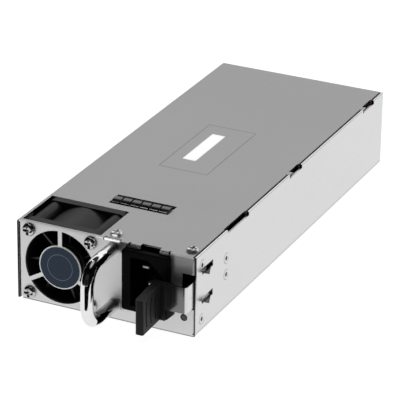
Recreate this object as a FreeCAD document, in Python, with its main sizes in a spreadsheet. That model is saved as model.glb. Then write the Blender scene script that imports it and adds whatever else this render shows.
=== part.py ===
import FreeCAD, Part
import math
import os
from types import SimpleNamespace

import Sketcher
from FreeCAD import Placement, Rotation, Vector

# A one-unit-high hot swap server power supply, in millimetres.
# X runs to the right seen from the front, Y from the front to the back, Z up.
# The origin is the centre of the case's bottom face.

SIZES = {
    # Case: a base with the right wall, and a cover with the left wall
    "case_width": 92.0,
    "case_height": 40.0,
    "case_length": 222.0,
    "sheet": 1.0,
    "bend": 1.6,
    "sharp_bend": 1.2,
    "base_flange": 7.0,
    "cover_flange": 6.0,
    "cover_gap": 0.1,
    "flange_setback": 14.0,
    "panel_flange": 12.0,
    # Cooling fan and its place in the front
    "fan_side": 40.0,
    "fan_depth": 28.0,
    "fan_margin": 1.4,
    "fan_gasket": 1.0,
    "fan_clearance": 0.3,
    "fan_hole_pitch": 32.0,
    "fan_hole": 4.3,
    "fan_flange": 4.0,
    "fan_barrel": 39.4,
    "fan_bore": 37.4,
    "fan_corner": 3.0,
    "fan_boss": 7.0,
    "fan_strut_width": 2.4,
    "fan_strut_depth": 3.0,
    "blade_gap": 0.4,
    "rotor_hub": 21.0,
    "rotor_depth": 20.0,
    "rotor_inset": 2.0,
    "rotor_wall": 1.0,
    "magnet_wall": 1.2,
    "stator_gap": 0.4,
    "stator_depth": 11.0,
    "bearing_tube": 7.6,
    "bearing_outer": 6.0,
    "bearing_depth": 2.5,
    "shaft": 2.0,
    "shaft_play": 0.03,
    "blade_thickness": 0.9,
    # Guard stamped in the front panel
    "guard_opening": 36.6,
    "guard_disc": 21.8,
    "guard_spoke": 2.0,
    "label_disc": 20.8,
    "label_thickness": 0.2,
    # Screws
    "fan_screw_head": 6.5,
    "fan_screw_rise": 2.0,
    "fan_screw_shank": 3.8,
    "fan_screw_length": 8.0,
    "cover_screw_head": 6.0,
    "cover_screw_rise": 1.5,
    "cover_screw_shank": 2.9,
    "cover_screw_length": 4.0,
    "cover_screw_x": 2.5,
    "cover_screw_inset": 5.0,
    "cover_screw_y": 6.2,
    "screw_play": 0.3,
    # Handle
    "handle_x": 3.85,
    "handle_low": 7.0,
    "handle_span": 29.0,
    "handle_reach": 25.4,
    "handle_rod": 6.0,
    "handle_bend": 10.0,
    "handle_spigot": 3.0,
    "handle_tap": 2.0,
    "handle_tap_depth": 9.0,
    "handle_screw_length": 6.5,
    "handle_screw_head": 3.8,
    "handle_screw_rise": 1.4,
    # Mains inlet, turned so that its long side is upright
    "inlet_x": 21.35,
    "inlet_lip_gap": 0.9,
    "inlet_flange_width": 23.6,
    "inlet_flange_height": 30.4,
    "inlet_rise": 3.0,
    "inlet_body_width": 20.0,
    "inlet_body_height": 27.0,
    "inlet_body_depth": 20.0,
    "inlet_round": 1.2,
    "socket_width": 16.3,
    "socket_height": 24.4,
    "socket_depth": 16.0,
    "socket_shift_x": 0.85,
    "socket_shift_z": -0.2,
    "socket_chamfer": 7.2,
    "pin_width": 4.0,
    "pin_thickness": 2.0,
    "pin_tip": 0.6,
    "pin_spread": 7.0,
    "pin_offset": 2.0,
    "pin_recess": 3.5,
    "earth_lead": 2.0,
    "tag_width": 6.3,
    "tag_thickness": 0.8,
    "tag_length": 8.0,
    # Latch on the right wall
    "leaf": 0.8,
    "leaf_gap": 0.1,
    "latch_z": 22.9,
    "leaf_height": 15.4,
    "strip_height": 12.9,
    "latch_hinge": 28.0,
    "latch_slit": 0.2,
    "latch_root": 8.0,
    "latch_reach": 8.2,
    "tooth_front": 6.6,
    "tooth_back": 15.6,
    "tooth_tip": 6.9,
    "tooth_rise": 3.2,
    "tooth_slot_gap": 0.7,
    "tooth_slot_rise": 1.6,
    "latch_rivet_y": 31.6,
    "latch_rivet_z": 22.4,
    "latch_rivet_pitch": 8.2,
    "rivet_head": 5.2,
    "rivet_ring": 0.25,
    "rivet_shank": 3.0,
    "rivet_tail": 4.4,
    "rivet_tail_depth": 1.0,
    "rivet_dimple": 2.2,
    "panel_rivet_y": 5.9,
    "panel_rivet_low": 7.0,
    "panel_rivet_high": 34.1,
    "window_width": 6.3,
    "window_low": 13.6,
    "window_height": 17.4,
    "tab_x": 30.2,
    "tab_blade": 4.0,
    "tab_low": 10.2,
    "tab_height": 18.0,
    "tab_reach": 26.0,
    "tab_base_left": 27.6,
    "tab_base_front": 34.8,
    "tab_base_back": 38.2,
    "tab_front_wall": 1.2,
    "tab_back_wall": 1.2,
    "tab_corner": 3.0,
    "tab_round": 1.0,
    "tab_drop_low": 0.6,
    "tab_drop_high": 1.5,
    "tab_groove_bow": 0.9,
    "tab_groove_margin": 2.6,
    "tab_groove": 0.9,
    "tab_groove_depth": 0.5,
    "tab_groove_pitch": 4.4,
    # Status light
    "led_z": 8.9,
    "led_inset": 6.15,
    "led_hole": 3.5,
    "led_lens": 3.2,
    "led_rim": 4.4,
    "led_depth": 5.0,
    "led_wire": 0.9,
    "led_wire_pitch": 1.4,
    "led_wire_inset": 1.5,
    # Earthing finger strip on the cover
    "finger_left": -16.1,
    "finger_pitch": 5.0,
    "finger_gap": 6.4,
    "finger_crown": 4.4,
    "finger_width": 4.2,
    "finger_count": 6,
    "finger_reach": 7.2,
    "finger_front_rise": 0.4,
    "finger_drop": 0.7,
    "finger_slot_end": 9.2,
    "finger_rise": 1.3,
    "finger_thickness": 0.3,
    "finger_slot_front": 0.9,
    "finger_slot_back": 1.8,
    "finger_web": 3.8,
    "finger_spine": 5.0,
    # Notches of the cover and the wall
    "notch_depth": 1.8,
    "notch_first": 103.0,
    "notch_second": 195.0,
    "notch_length": 14.5,
    "hook_length": 3.5,
    "side_slot": 33.0,
    "side_slot_length": 23.0,
    # Front edge of the cover
    "slit_left": -1.2,
    "slit_width": 8.8,
    "slit_depth": 2.2,
    "slit_play": 0.4,
    "lip_left": 12.6,
    "lip_right": 31.9,
    "lip_drop": 1.8,
    "lip_notch_left": 17.7,
    "lip_notch_width": 9.7,
    "lip_notch_depth": 2.7,
    "relief": 1.0,
    "relief_depth": 1.4,
    # Rear panel
    "tongue_width": 60.0,
    "tongue_length": 9.0,
    "tongue_gap": 0.8,
    "rear_tab_low": 16.6,
    "rear_tab_height": 17.7,
    "rear_tab_rise": 2.0,
    "rear_tab_taper": 3.0,
    "vent": 5.2,
    "vent_pitch": 6.2,
    "vent_columns": 12,
    "vent_low": 12.5,
    # Board and what stands on it
    "standoff": 4.0,
    "standoff_outer": 5.5,
    "board": 1.6,
    "board_gap": 6.0,
    "board_side_gap": 3.0,
    "board_hole": 3.2,
    "board_hole_inset": 5.0,
    "board_screw_head": 5.5,
    "board_screw_rise": 1.8,
    "board_screw_shank": 2.6,
    "insulator": 0.4,
    "contact_width": 1.6,
    "contact_pitch": 2.4,
    "contact_count": 24,
    "contact_length": 7.5,
    "contact_metal": 0.1,
    "solder_gap": 0.3,
    "bulk_gap": 1.0,
    "choke_gap": 0.8,
    "choke_inner": 6.5,
    "choke_depth": 11.0,
    "winding": 1.6,
    "x_cap_length": 18.0,
    "x_cap_width": 9.0,
    "x_cap_height": 15.0,
    "x_cap_gap": 1.4,
    "y_cap_diameter": 9.0,
    "y_cap_thickness": 4.0,
    "fuse_diameter": 5.2,
    "fuse_length": 20.0,
    "fuse_cap": 5.0,
    "relay_length": 19.0,
    "relay_width": 12.0,
    "relay_height": 15.0,
    "relay_gap": 1.3,
    "bridge_length": 22.0,
    "bridge_thickness": 4.6,
    "bridge_height": 15.0,
    "bridge_leg": 1.0,
    "sink_base": 3.0,
    "sink_inset": 1.0,
    "sink_height": 28.0,
    "sink_fin": 1.2,
    "sink_fin_length": 5.0,
    "sink_fin_count": 6,
    "device_width": 10.0,
    "device_height": 15.0,
    "device_thickness": 4.5,
    "device_pitch": 13.5,
    "device_leg": 0.5,
    "pfc_outer": 26.0,
    "pfc_inner": 11.0,
    "pfc_gap": 1.7,
    "core_height": 26.0,
    "coil_wall": 3.0,
    "coil_gap": 0.4,
    "standby_length": 18.0,
    "standby_width": 16.0,
    "standby_height": 17.0,
    "card_thickness": 1.2,
    "card_height": 26.0,
    "card_inset": 4.0,
    "chip_side": 9.0,
    "chip_thickness": 1.5,
    "out_sink_height": 24.0,
    "out_cap_diameter": 8.0,
    "out_cap_height": 14.0,
    "out_cap_inset": 4.0,
    "out_cap_count": 7,
    "fan_plug_width": 9.0,
    "fan_plug_length": 6.0,
    "fan_plug_height": 7.0,
    "fan_plug_inset": 5.0,
    "fan_lead": 2.4,
    "fan_lead_bend": 5.0,
    "mains_lead": 2.6,
    "mains_lead_bend": 6.0,
    "mains_lead_inset": 2.5,
    "mains_lead_pitch": 3.4,
    # Bare sticker on the cover
    "sticker_x": -5.25,
    "sticker_width": 6.9,
    "sticker_front": 97.6,
    "sticker_length": 33.9,
    "sticker_thickness": 0.1,
}

# Shares of the board's width, measured across it, or of its length, measured from its front
SHARES = {
    "board_hole_middle_share": 0.532,
    "bulk_x_share": 0.339,
    "bulk_pitch_share": 0.321,
    "bulk_front_share": 0.254,
    "bulk_length_share": 0.26,
    "choke_x_share": 0.298,
    "choke_pitch_share": 0.25,
    "choke_front_share": 0.15,
    "x_cap_x_share": 0.262,
    "x_cap_pitch_share": 0.286,
    "y_cap_x_share": -0.012,
    "y_cap_pitch_share": 0.131,
    "y_cap_front_share": 0.052,
    "fuse_x_share": 0.434,
    "fuse_front_share": 0.052,
    "relay_x_share": -0.381,
    "sink_front_share": 0.208,
    "sink_length_share": 0.3,
    "pfc_middle_share": 0.358,
    "core_x_share": 0.119,
    "core_width_share": 0.357,
    "core_front_share": 0.561,
    "core_length_share": 0.202,
    "standby_x_share": -0.238,
    "standby_front_share": 0.532,
    "card_front_share": 0.555,
    "card_length_share": 0.277,
    "out_sink_width_share": 0.833,
    "out_sink_front_share": 0.832,
    "out_cap_pitch_share": 0.119,
    "fan_plug_x_share": -0.286,
}

BLADE_COUNT = 7
BLADE_SWEEP_ROOT = 4.2
BLADE_SWEEP_TIP = 7.6
TUBE_START = 5.0
STATOR_START = 6.0
CROSS_LENGTH = 0.7
CROSS_WIDTH = 0.21
CORE_LEG = 0.15
HEX_RISE = 0.866
VENT_ROWS_EVEN = 3
VENT_ROWS_ODD = 2

PLANES = {"top": "XY_Plane", "front": "XZ_Plane", "side": "YZ_Plane"}
TURNS = {
    "x": Rotation(Vector(0, 1, 0), 90),
    "y": Rotation(Vector(1, 0, 0), -90),
    "z": Rotation(),
}
SPILL = 1.0


class Size:
    """A length that knows its number and the formula that the model keeps."""

    def __init__(self, number, formula):
        self.number = number
        self.formula = formula

    def __add__(self, other):
        other = as_size(other)
        return Size(self.number + other.number, f"({self.formula} + {other.formula})")

    def __sub__(self, other):
        other = as_size(other)
        return Size(self.number - other.number, f"({self.formula} - {other.formula})")

    def __mul__(self, factor):
        factor = as_size(factor)
        return Size(self.number * factor.number, f"({self.formula} * {factor.formula})")

    def __truediv__(self, factor):
        factor = as_size(factor)
        return Size(self.number / factor.number, f"({self.formula} / {factor.formula})")

    def __neg__(self):
        return Size(-self.number, f"(-{self.formula})")

    def __radd__(self, other):
        return as_size(other) + self

    def __rsub__(self, other):
        return as_size(other) - self

    __rmul__ = __mul__


def as_size(value):
    if isinstance(value, Size):
        return value
    return Size(float(value), f"({float(value):.9g})")


def make_sheet(doc):
    """The spreadsheet of driving sizes: a name and a number in each row."""
    sheet = doc.addObject("Spreadsheet::Sheet", "Sizes")
    values = {**SIZES, **SHARES}
    for row, (alias, value) in enumerate(values.items(), 1):
        sheet.set(f"A{row}", alias)
        sheet.set(f"B{row}", str(value))
        sheet.setAlias(f"B{row}", alias)
    doc.recompute()
    return SimpleNamespace(**{name: Size(float(value), f"Sizes.{name}") for name, value in values.items()})


doc = FreeCAD.newDocument("power_supply")
size = make_sheet(doc)
nodes = []
cuts = []

half_width = size.case_width / 2
inner = half_width - size.sheet
front = -size.case_length / 2
back = size.case_length / 2
top = size.case_height
fan_z = size.case_height / 2
fan_front = front + size.sheet + size.fan_gasket
fan_back = fan_front + size.fan_depth
leaf_outside = inner - size.leaf_gap
leaf_inside = leaf_outside - size.leaf
board_low = size.sheet + size.standoff
board_top = board_low + size.board
board_start = fan_back + size.board_gap
board_end = back - size.panel_flange - size.sheet
board_width = inner * 2 - size.board_side_gap * 2
board_length = board_end - board_start
fan_x = -inner + size.fan_margin + size.fan_side / 2
finger_hinge = fan_back + size.finger_gap
inlet_top = top - size.sheet - size.lip_drop - size.inlet_lip_gap
inlet_z = inlet_top - size.inlet_body_height / 2


def across(name):
    """A named share of the board's width."""
    return board_width * getattr(size, f"{name}_share")


def along(name):
    """A named share of the board's length."""
    return board_length * getattr(size, f"{name}_share")


def new_body(label, x=0, y=0, z=0):
    """An empty body, labelled with its node's name and set at its place."""
    body = doc.addObject("PartDesign::Body", label)
    body.Label = label
    place(body, x, y, z)
    nodes.append(body)
    return body


def place(thing, x, y, z, turn=Rotation()):
    where = [as_size(value) for value in (x, y, z)]
    thing.Placement = Placement(Vector(*[value.number for value in where]), turn)
    for letter, value in zip("xyz", where):
        thing.setExpression(f"Placement.Base.{letter}", value.formula)


def bind(feature, name, value):
    feature.setExpression(name, as_size(value).formula)


def new_sketch(body, plane, at):
    """A sketch on one of the body's own planes, moved along the plane's axis."""
    sketch = body.newObject("Sketcher::SketchObject", "sketch")
    support = next(item for item in body.Origin.OriginFeatures if item.Role == PLANES[plane])
    sketch.AttachmentSupport = [(support, "")]
    sketch.MapMode = "FlatFace"
    offset = -as_size(at) if plane == "front" else as_size(at)
    sketch.AttachmentOffset = Placement(Vector(0, 0, offset.number), Rotation())
    sketch.setExpression("AttachmentOffset.Base.z", offset.formula)
    return sketch


def rect(x0, y0, x1, y1, radius=None):
    corners = [(x0, y0), (x1, y0), (x1, y1), (x0, y1)]
    if radius is not None:
        corners = [corner + (radius,) for corner in corners]
    return ("outline", corners)


def outline(*corners):
    """A closed outline; a corner with a third value is rounded to that radius."""
    return ("outline", list(corners))


def disc(x, y, diameter):
    return ("disc", (x, y, diameter))


def cross(x, y, length, width):
    """The outline of a cross recess, as in a screw's head."""
    far = length / 2
    near = width / 2
    arms = [(near, far), (near, near), (far, near), (far, -near), (near, -near), (near, -far)]
    corners = [(x + i, y + k) for i, k in arms] + [(x - i, y - k) for i, k in arms]
    return ("outline", corners)


def root(value):
    return Size(math.sqrt(value.number), f"sqrt({value.formula})")


def direction(start, end):
    dx = end[0].number - start[0].number
    dy = end[1].number - start[1].number
    length = math.hypot(dx, dy)
    return (dx / length, dy / length)


def corner_ends(before, corner, after):
    """Where the round of a square corner starts and ends."""
    into = direction(before, corner)
    out = direction(corner, after)
    radius = corner[2]
    start = (corner[0] - radius * into[0], corner[1] - radius * into[1])
    end = (corner[0] + radius * out[0], corner[1] + radius * out[1])
    centre = (start[0] + radius * out[0], start[1] + radius * out[1])
    return start, end, centre


def arc_between(centre, radius, start, end):
    """The short arc from start to end, drawn the way round that a circle runs."""
    angles = [
        math.atan2(point[1].number - centre[1].number, point[0].number - centre[0].number)
        for point in (start, end)
    ]
    turn = (angles[1] - angles[0]) % (2 * math.pi)
    circle = Part.Circle(flat(centre), Vector(0, 0, 1), radius.number)
    if turn < math.pi:
        return Part.ArcOfCircle(circle, angles[0], angles[0] + turn), True
    return Part.ArcOfCircle(circle, angles[1], angles[1] + 2 * math.pi - turn), False


def flat(point):
    return Vector(point[0].number, point[1].number, 0)


def draw_outline(sketch, corners):
    corners = [tuple(as_size(value) for value in corner) for corner in corners]
    count = len(corners)
    stops = []
    for index, corner in enumerate(corners):
        if len(corner) == 2:
            stops.append((corner, corner, None))
        else:
            stops.append(corner_ends(corners[index - 1], corner, corners[(index + 1) % count]))
    pieces = []
    for index, (start, end, centre) in enumerate(stops):
        if centre is not None:
            pieces.append(("arc", start, end, centre, corners[index][2]))
        pieces.append(("line", end, stops[(index + 1) % count][0]))
    add_pieces(sketch, pieces)


def draw_path(sketch, corners):
    """An open path whose inner corners are rounded to their third value."""
    corners = [tuple(as_size(value) for value in corner) for corner in corners]
    pieces = []
    at = corners[0]
    for before, corner, after in zip(corners, corners[1:], corners[2:]):
        start, end, centre = corner_ends(before, corner, after)
        pieces.append(("line", at, start))
        pieces.append(("arc", start, end, centre, corner[2]))
        at = end
    pieces.append(("line", at, corners[-1]))
    add_pieces(sketch, pieces, closed=False)


def add_pieces(sketch, pieces, closed=True):
    """Adds lines and arcs end to end, each held by the formulas of its points."""
    first = len(sketch.Geometry)
    ends = []
    for piece in pieces:
        if piece[0] == "line":
            sketch.addGeometry(Part.LineSegment(flat(piece[1]), flat(piece[2])), False)
            ends.append((1, 2))
        else:
            curve, forward = arc_between(piece[3], piece[4], piece[1], piece[2])
            sketch.addGeometry(curve, False)
            ends.append((1, 2) if forward else (2, 1))
    rules = []
    formulas = []
    base = len(sketch.Constraints)

    def hold(index, end, point):
        for kind, value in (("DistanceX", point[0]), ("DistanceY", point[1])):
            formulas.append((base + len(rules), value.formula))
            rules.append(Sketcher.Constraint(kind, -1, 1, first + index, end, value.number))

    for index, piece in enumerate(pieces):
        after = (index + 1) % len(pieces)
        hold(index, ends[index][0], piece[1])
        if after > 0 or closed:
            joint = (first + index, ends[index][1], first + after, ends[after][0])
            rules.append(Sketcher.Constraint("Coincident", *joint))
        else:
            hold(index, ends[index][1], piece[2])
        if piece[0] == "arc":
            formulas.append((base + len(rules), piece[4].formula))
            rules.append(Sketcher.Constraint("Radius", first + index, piece[4].number))
    sketch.addConstraint(rules)
    for index, formula in formulas:
        sketch.setExpression(f"Constraints[{index}]", formula)


def draw_disc(sketch, shape):
    x, y, diameter = [as_size(value) for value in shape]
    circle = Part.Circle(flat((x, y)), Vector(0, 0, 1), diameter.number / 2)
    index = sketch.addGeometry(circle, False)
    base = len(sketch.Constraints)
    sketch.addConstraint(
        [
            Sketcher.Constraint("DistanceX", -1, 1, index, 3, x.number),
            Sketcher.Constraint("DistanceY", -1, 1, index, 3, y.number),
            Sketcher.Constraint("Diameter", index, diameter.number),
        ]
    )
    for step, value in enumerate((x, y, diameter)):
        sketch.setExpression(f"Constraints[{base + step}]", value.formula)


def draw(body, plane, at, shapes):
    sketch = new_sketch(body, plane, at)
    for kind, shape in shapes:
        if kind == "disc":
            draw_disc(sketch, shape)
        elif kind == "pieces":
            add_pieces(sketch, shape)
        else:
            draw_outline(sketch, shape)
    return sketch


def add(body, plane, at, depth, *shapes):
    """Adds a prism of the shapes that runs from at to at + depth."""
    pad = body.newObject("PartDesign::Pad", "pad")
    pad.Profile = draw(body, plane, at, shapes)
    bind(pad, "Length", depth)
    pad.Reversed = plane == "front"
    return pad


def take(body, plane, at, depth, *shapes):
    """Cuts a prism of the shapes that runs from at to at + depth."""
    pocket = body.newObject("PartDesign::Pocket", "pocket")
    pocket.Profile = draw(body, plane, at, shapes)
    bind(pocket, "Length", depth)
    pocket.Reversed = plane != "front"
    cuts.append(pocket)
    return pocket


def primitive(body, kind, axis, x, y, z, **lengths):
    """Adds or cuts a cylinder, cone or ring whose axis runs along the named one."""
    feature = body.newObject(f"PartDesign::{kind}", kind.lower())
    place(feature, x, y, z, TURNS[axis])
    for name, value in lengths.items():
        bind(feature, name, value)
    if kind.startswith("Subtractive"):
        cuts.append(feature)
    return feature


def pipe(body, plane, at, path, diameter, start_plane, start_at, start):
    """A round rod or wire that follows a path of straight runs and arcs."""
    spine = new_sketch(body, plane, at)
    draw_path(spine, path)
    profile = draw(body, start_plane, start_at, [disc(start[0], start[1], diameter)])
    feature = body.newObject("PartDesign::AdditivePipe", "pipe")
    feature.Profile = profile
    feature.Spine = (spine, [""])
    return feature


def edges_at(body, pick):
    doc.recompute()
    edges = enumerate(body.Tip.Shape.Edges, 1)
    return (body.Tip, [f"Edge{number}" for number, edge in edges if pick(edge)])


def fillet(body, radius, pick):
    base = edges_at(body, pick)
    feature = body.newObject("PartDesign::Fillet", "fillet")
    feature.Base = base
    bind(feature, "Radius", radius)
    return feature


def chamfer(body, length, pick):
    base = edges_at(body, pick)
    feature = body.newObject("PartDesign::Chamfer", "chamfer")
    feature.Base = base
    bind(feature, "Size", length)
    return feature


def lies(edge, **limits):
    """True where the whole edge lies at the given x, y or z, within a hair."""
    box = edge.BoundBox
    for name, value in limits.items():
        low = getattr(box, f"{name.upper()}Min")
        high = getattr(box, f"{name.upper()}Max")
        wanted = as_size(value).number
        if abs(low - wanted) > 0.001 or abs(high - wanted) > 0.001:
            return False
    return True


def straight(edge, letter):
    """True for a straight edge that runs along the named axis."""
    if not isinstance(edge.Curve, Part.Line):
        return False
    return abs(abs(getattr(edge.Curve.Direction, letter)) - 1) < 0.0001


def polar(body, feature, role, count):
    pattern = body.newObject("PartDesign::PolarPattern", "pattern")
    pattern.Originals = [feature]
    axis = next(item for item in body.Origin.OriginFeatures if item.Role == role)
    pattern.Axis = (axis, [""])
    pattern.Angle = 360
    pattern.Occurrences = count
    body.Tip = pattern
    return pattern


def row(body, feature, role, pitch, count, reverse=False):
    """A row of copies of one feature, a pitch apart, along an origin axis."""
    pattern = body.newObject("PartDesign::LinearPattern", "pattern")
    pattern.Originals = [feature]
    axis = next(item for item in body.Origin.OriginFeatures if item.Role == role)
    pattern.Direction = (axis, [""])
    pattern.Reversed = reverse
    pattern.Occurrences = int(count)
    bind(pattern, "Length", pitch * (int(count) - 1))
    body.Tip = pattern
    return pattern


def grid(body, feature, pitch_x, count_x, pitch_z, count_z):
    """Copies of one feature in columns along X and rows along Z."""
    multi = body.newObject("PartDesign::MultiTransform", "grid")
    multi.Originals = [feature]
    steps = []
    for role, pitch, count in (("X_Axis", pitch_x, count_x), ("Z_Axis", pitch_z, count_z)):
        step = body.newObject("PartDesign::LinearPattern", "step")
        axis = next(item for item in body.Origin.OriginFeatures if item.Role == role)
        step.Direction = (axis, [""])
        step.Occurrences = int(count)
        bind(step, "Length", pitch * (int(count) - 1))
        steps.append(step)
    multi.Transformations = steps
    body.Tip = multi
    return multi


# Case


def fan_cut(body, at):
    """The opening through which the fan reaches the outside of the case."""
    reach = size.fan_side / 2 + size.fan_clearance
    take(
        body,
        "top",
        at - SPILL,
        size.sheet + 2 * SPILL,
        rect(
            fan_x - reach,
            fan_front - size.fan_clearance,
            fan_x + reach,
            fan_back + size.fan_clearance,
        ),
    )


def tooth_heights():
    """The middle heights of the two teeth, which are the leaf's folded edges."""
    reach = (size.leaf_height - size.leaf) / 2
    return (size.latch_z - reach, size.latch_z + reach)


def wall_rivets():
    """Places of the flush rivets in the right wall, as pairs of Y and Z."""
    half_pitch = size.latch_rivet_pitch / 2
    latch_y = front + size.latch_rivet_y
    panel_y = front + size.panel_rivet_y
    return {
        "panel": [(panel_y, size.panel_rivet_low), (panel_y, size.panel_rivet_high)],
        "latch": [(latch_y, size.latch_rivet_z - half_pitch), (latch_y, size.latch_rivet_z + half_pitch)],
    }


def wall_notches():
    """Starts and lengths of the notches in the right wall's upper edge."""
    return [
        (front + size.notch_first, size.notch_length),
        (front + size.notch_second, size.notch_length),
        (front + size.side_slot, size.side_slot_length),
    ]


def base_chassis():
    """Bottom, right wall and a short left flange, bent from one sheet."""
    body = new_body("base_chassis")
    inside = size.bend - size.sheet
    add(
        body,
        "front",
        front,
        size.case_length,
        outline(
            (-inner, size.base_flange),
            (-inner, 0, size.bend),
            (half_width, 0, size.bend),
            (half_width, top),
            (inner, top),
            (inner, size.sheet, inside),
            (-inner + size.sheet, size.sheet, inside),
            (-inner + size.sheet, size.base_flange),
        ),
    )
    take(
        body,
        "front",
        front - SPILL,
        size.flange_setback + SPILL,
        rect(-inner - SPILL, -SPILL, -inner + size.bend, size.base_flange + SPILL),
    )
    take(
        body,
        "front",
        back - size.flange_setback,
        size.flange_setback + SPILL,
        rect(-inner - SPILL, -SPILL, -inner + size.bend, size.base_flange + SPILL),
    )
    fan_cut(body, 0)
    slots = []
    for height in tooth_heights():
        slots.append(
            rect(
                front + size.tooth_front - size.tooth_slot_gap,
                height - size.leaf / 2 - size.tooth_slot_gap,
                front + size.tooth_back + size.tooth_slot_gap + size.sheet,
                height + size.leaf / 2 + size.tooth_slot_rise,
            )
        )
    take(body, "side", inner - SPILL, size.sheet + 2 * SPILL, *slots)
    notches = [
        rect(start, top - size.notch_depth, start + length, top + SPILL) for start, length in wall_notches()
    ]
    take(body, "side", inner - SPILL, size.sheet + 2 * SPILL, *notches)
    for places in wall_rivets().values():
        for y, z in places:
            primitive(
                body,
                "SubtractiveCone",
                "x",
                inner,
                y,
                z,
                Radius1=size.rivet_shank / 2,
                Radius2=size.rivet_head / 2,
                Height=size.sheet,
            )
    fillet(body, size.sheet * 0.4, lambda edge: straight(edge, "y") and lies(edge, x=half_width, z=top))
    return body


def top_cover():
    """Top, left wall and a short right flange, bent from one sheet."""
    body = new_body("top_cover")
    inside = size.sharp_bend - size.sheet
    edge = inner - size.cover_gap
    under = top - size.sheet
    add(
        body,
        "front",
        front,
        size.case_length,
        outline(
            (-half_width, 0),
            (-half_width, top, size.sharp_bend),
            (edge, top, size.sharp_bend),
            (edge, top - size.cover_flange),
            (edge - size.sheet, top - size.cover_flange),
            (edge - size.sheet, under, inside),
            (-inner, under, inside),
            (-inner, 0),
        ),
    )
    low = top - size.cover_flange - SPILL
    take(
        body,
        "side",
        edge - size.sharp_bend,
        size.sharp_bend + SPILL,
        rect(front - SPILL, low, front + size.flange_setback, under),
        rect(back - size.flange_setback, low, back + SPILL, under),
    )
    fan_cut(body, under)
    screws = [disc(x, y, size.cover_screw_shank + size.screw_play) for x, y in cover_screw_places()]
    take(body, "top", under - SPILL, size.sheet + 2 * SPILL, *screws)
    take(body, "top", under - SPILL, size.sheet + 2 * SPILL, *finger_slots())
    front_edge(body)
    for start, length in wall_notches():
        take(
            body,
            "side",
            edge - size.sharp_bend,
            size.sharp_bend + SPILL,
            rect(start, low, start + length, top + SPILL),
        )
    for start in (front + size.notch_first, front + size.notch_second):
        hook_start = start + size.cover_gap * 2
        add(
            body,
            "top",
            under,
            size.sheet,
            rect(edge - size.sharp_bend - size.sheet, hook_start, half_width, hook_start + size.hook_length),
        )
    return body


def front_edge(body):
    """The slit, reliefs, notch and turned-down lips along the cover's front."""
    under = top - size.sheet
    slit_right = size.slit_left + size.slit_width
    notch_right = size.lip_notch_left + size.lip_notch_width
    take(
        body,
        "top",
        under - SPILL,
        size.sheet + 2 * SPILL,
        rect(size.slit_left, front - SPILL, slit_right, front + size.slit_depth),
        rect(size.lip_left - size.relief, front - SPILL, size.lip_left, front + size.relief_depth),
        rect(size.lip_right, front - SPILL, size.lip_right + size.relief, front + size.relief_depth),
        rect(size.lip_notch_left, front - SPILL, notch_right, front + size.lip_notch_depth),
    )
    add(
        body,
        "front",
        front,
        size.sheet,
        rect(size.lip_left, top - size.sheet - size.lip_drop, size.lip_notch_left, top),
        rect(notch_right, top - size.sheet - size.lip_drop, size.lip_right, top),
    )

    def on_lip(edge):
        box = edge.BoundBox
        return (
            straight(edge, "x")
            and lies(edge, y=front, z=top)
            and box.XMin > size.lip_left.number - 0.001
            and box.XMax < size.lip_right.number + 0.001
        )

    fillet(body, size.sheet * 0.8, on_lip)


def cover_screw_places():
    y = front + size.cover_screw_y
    return [(size.cover_screw_x, y), (half_width - size.cover_screw_inset, y)]


def finger_slots():
    """The two slots that the earthing fingers reach through."""
    left = size.finger_left - size.finger_pitch + size.finger_width
    right = size.finger_left + size.finger_pitch * size.finger_count
    hinge = finger_hinge
    web_front = hinge + size.finger_slot_back
    web_back = web_front + size.finger_web
    return [
        rect(left, hinge - size.finger_slot_front, right, web_front),
        rect(left, web_back, right, hinge + size.finger_slot_end),
    ]


def fan_screw_places():
    reach = size.fan_hole_pitch / 2
    return [(fan_x + i * reach, fan_z + k * reach) for i in (-1, 1) for k in (-1, 1)]


def handle_ends():
    return [size.handle_low, size.handle_low + size.handle_span]


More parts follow.
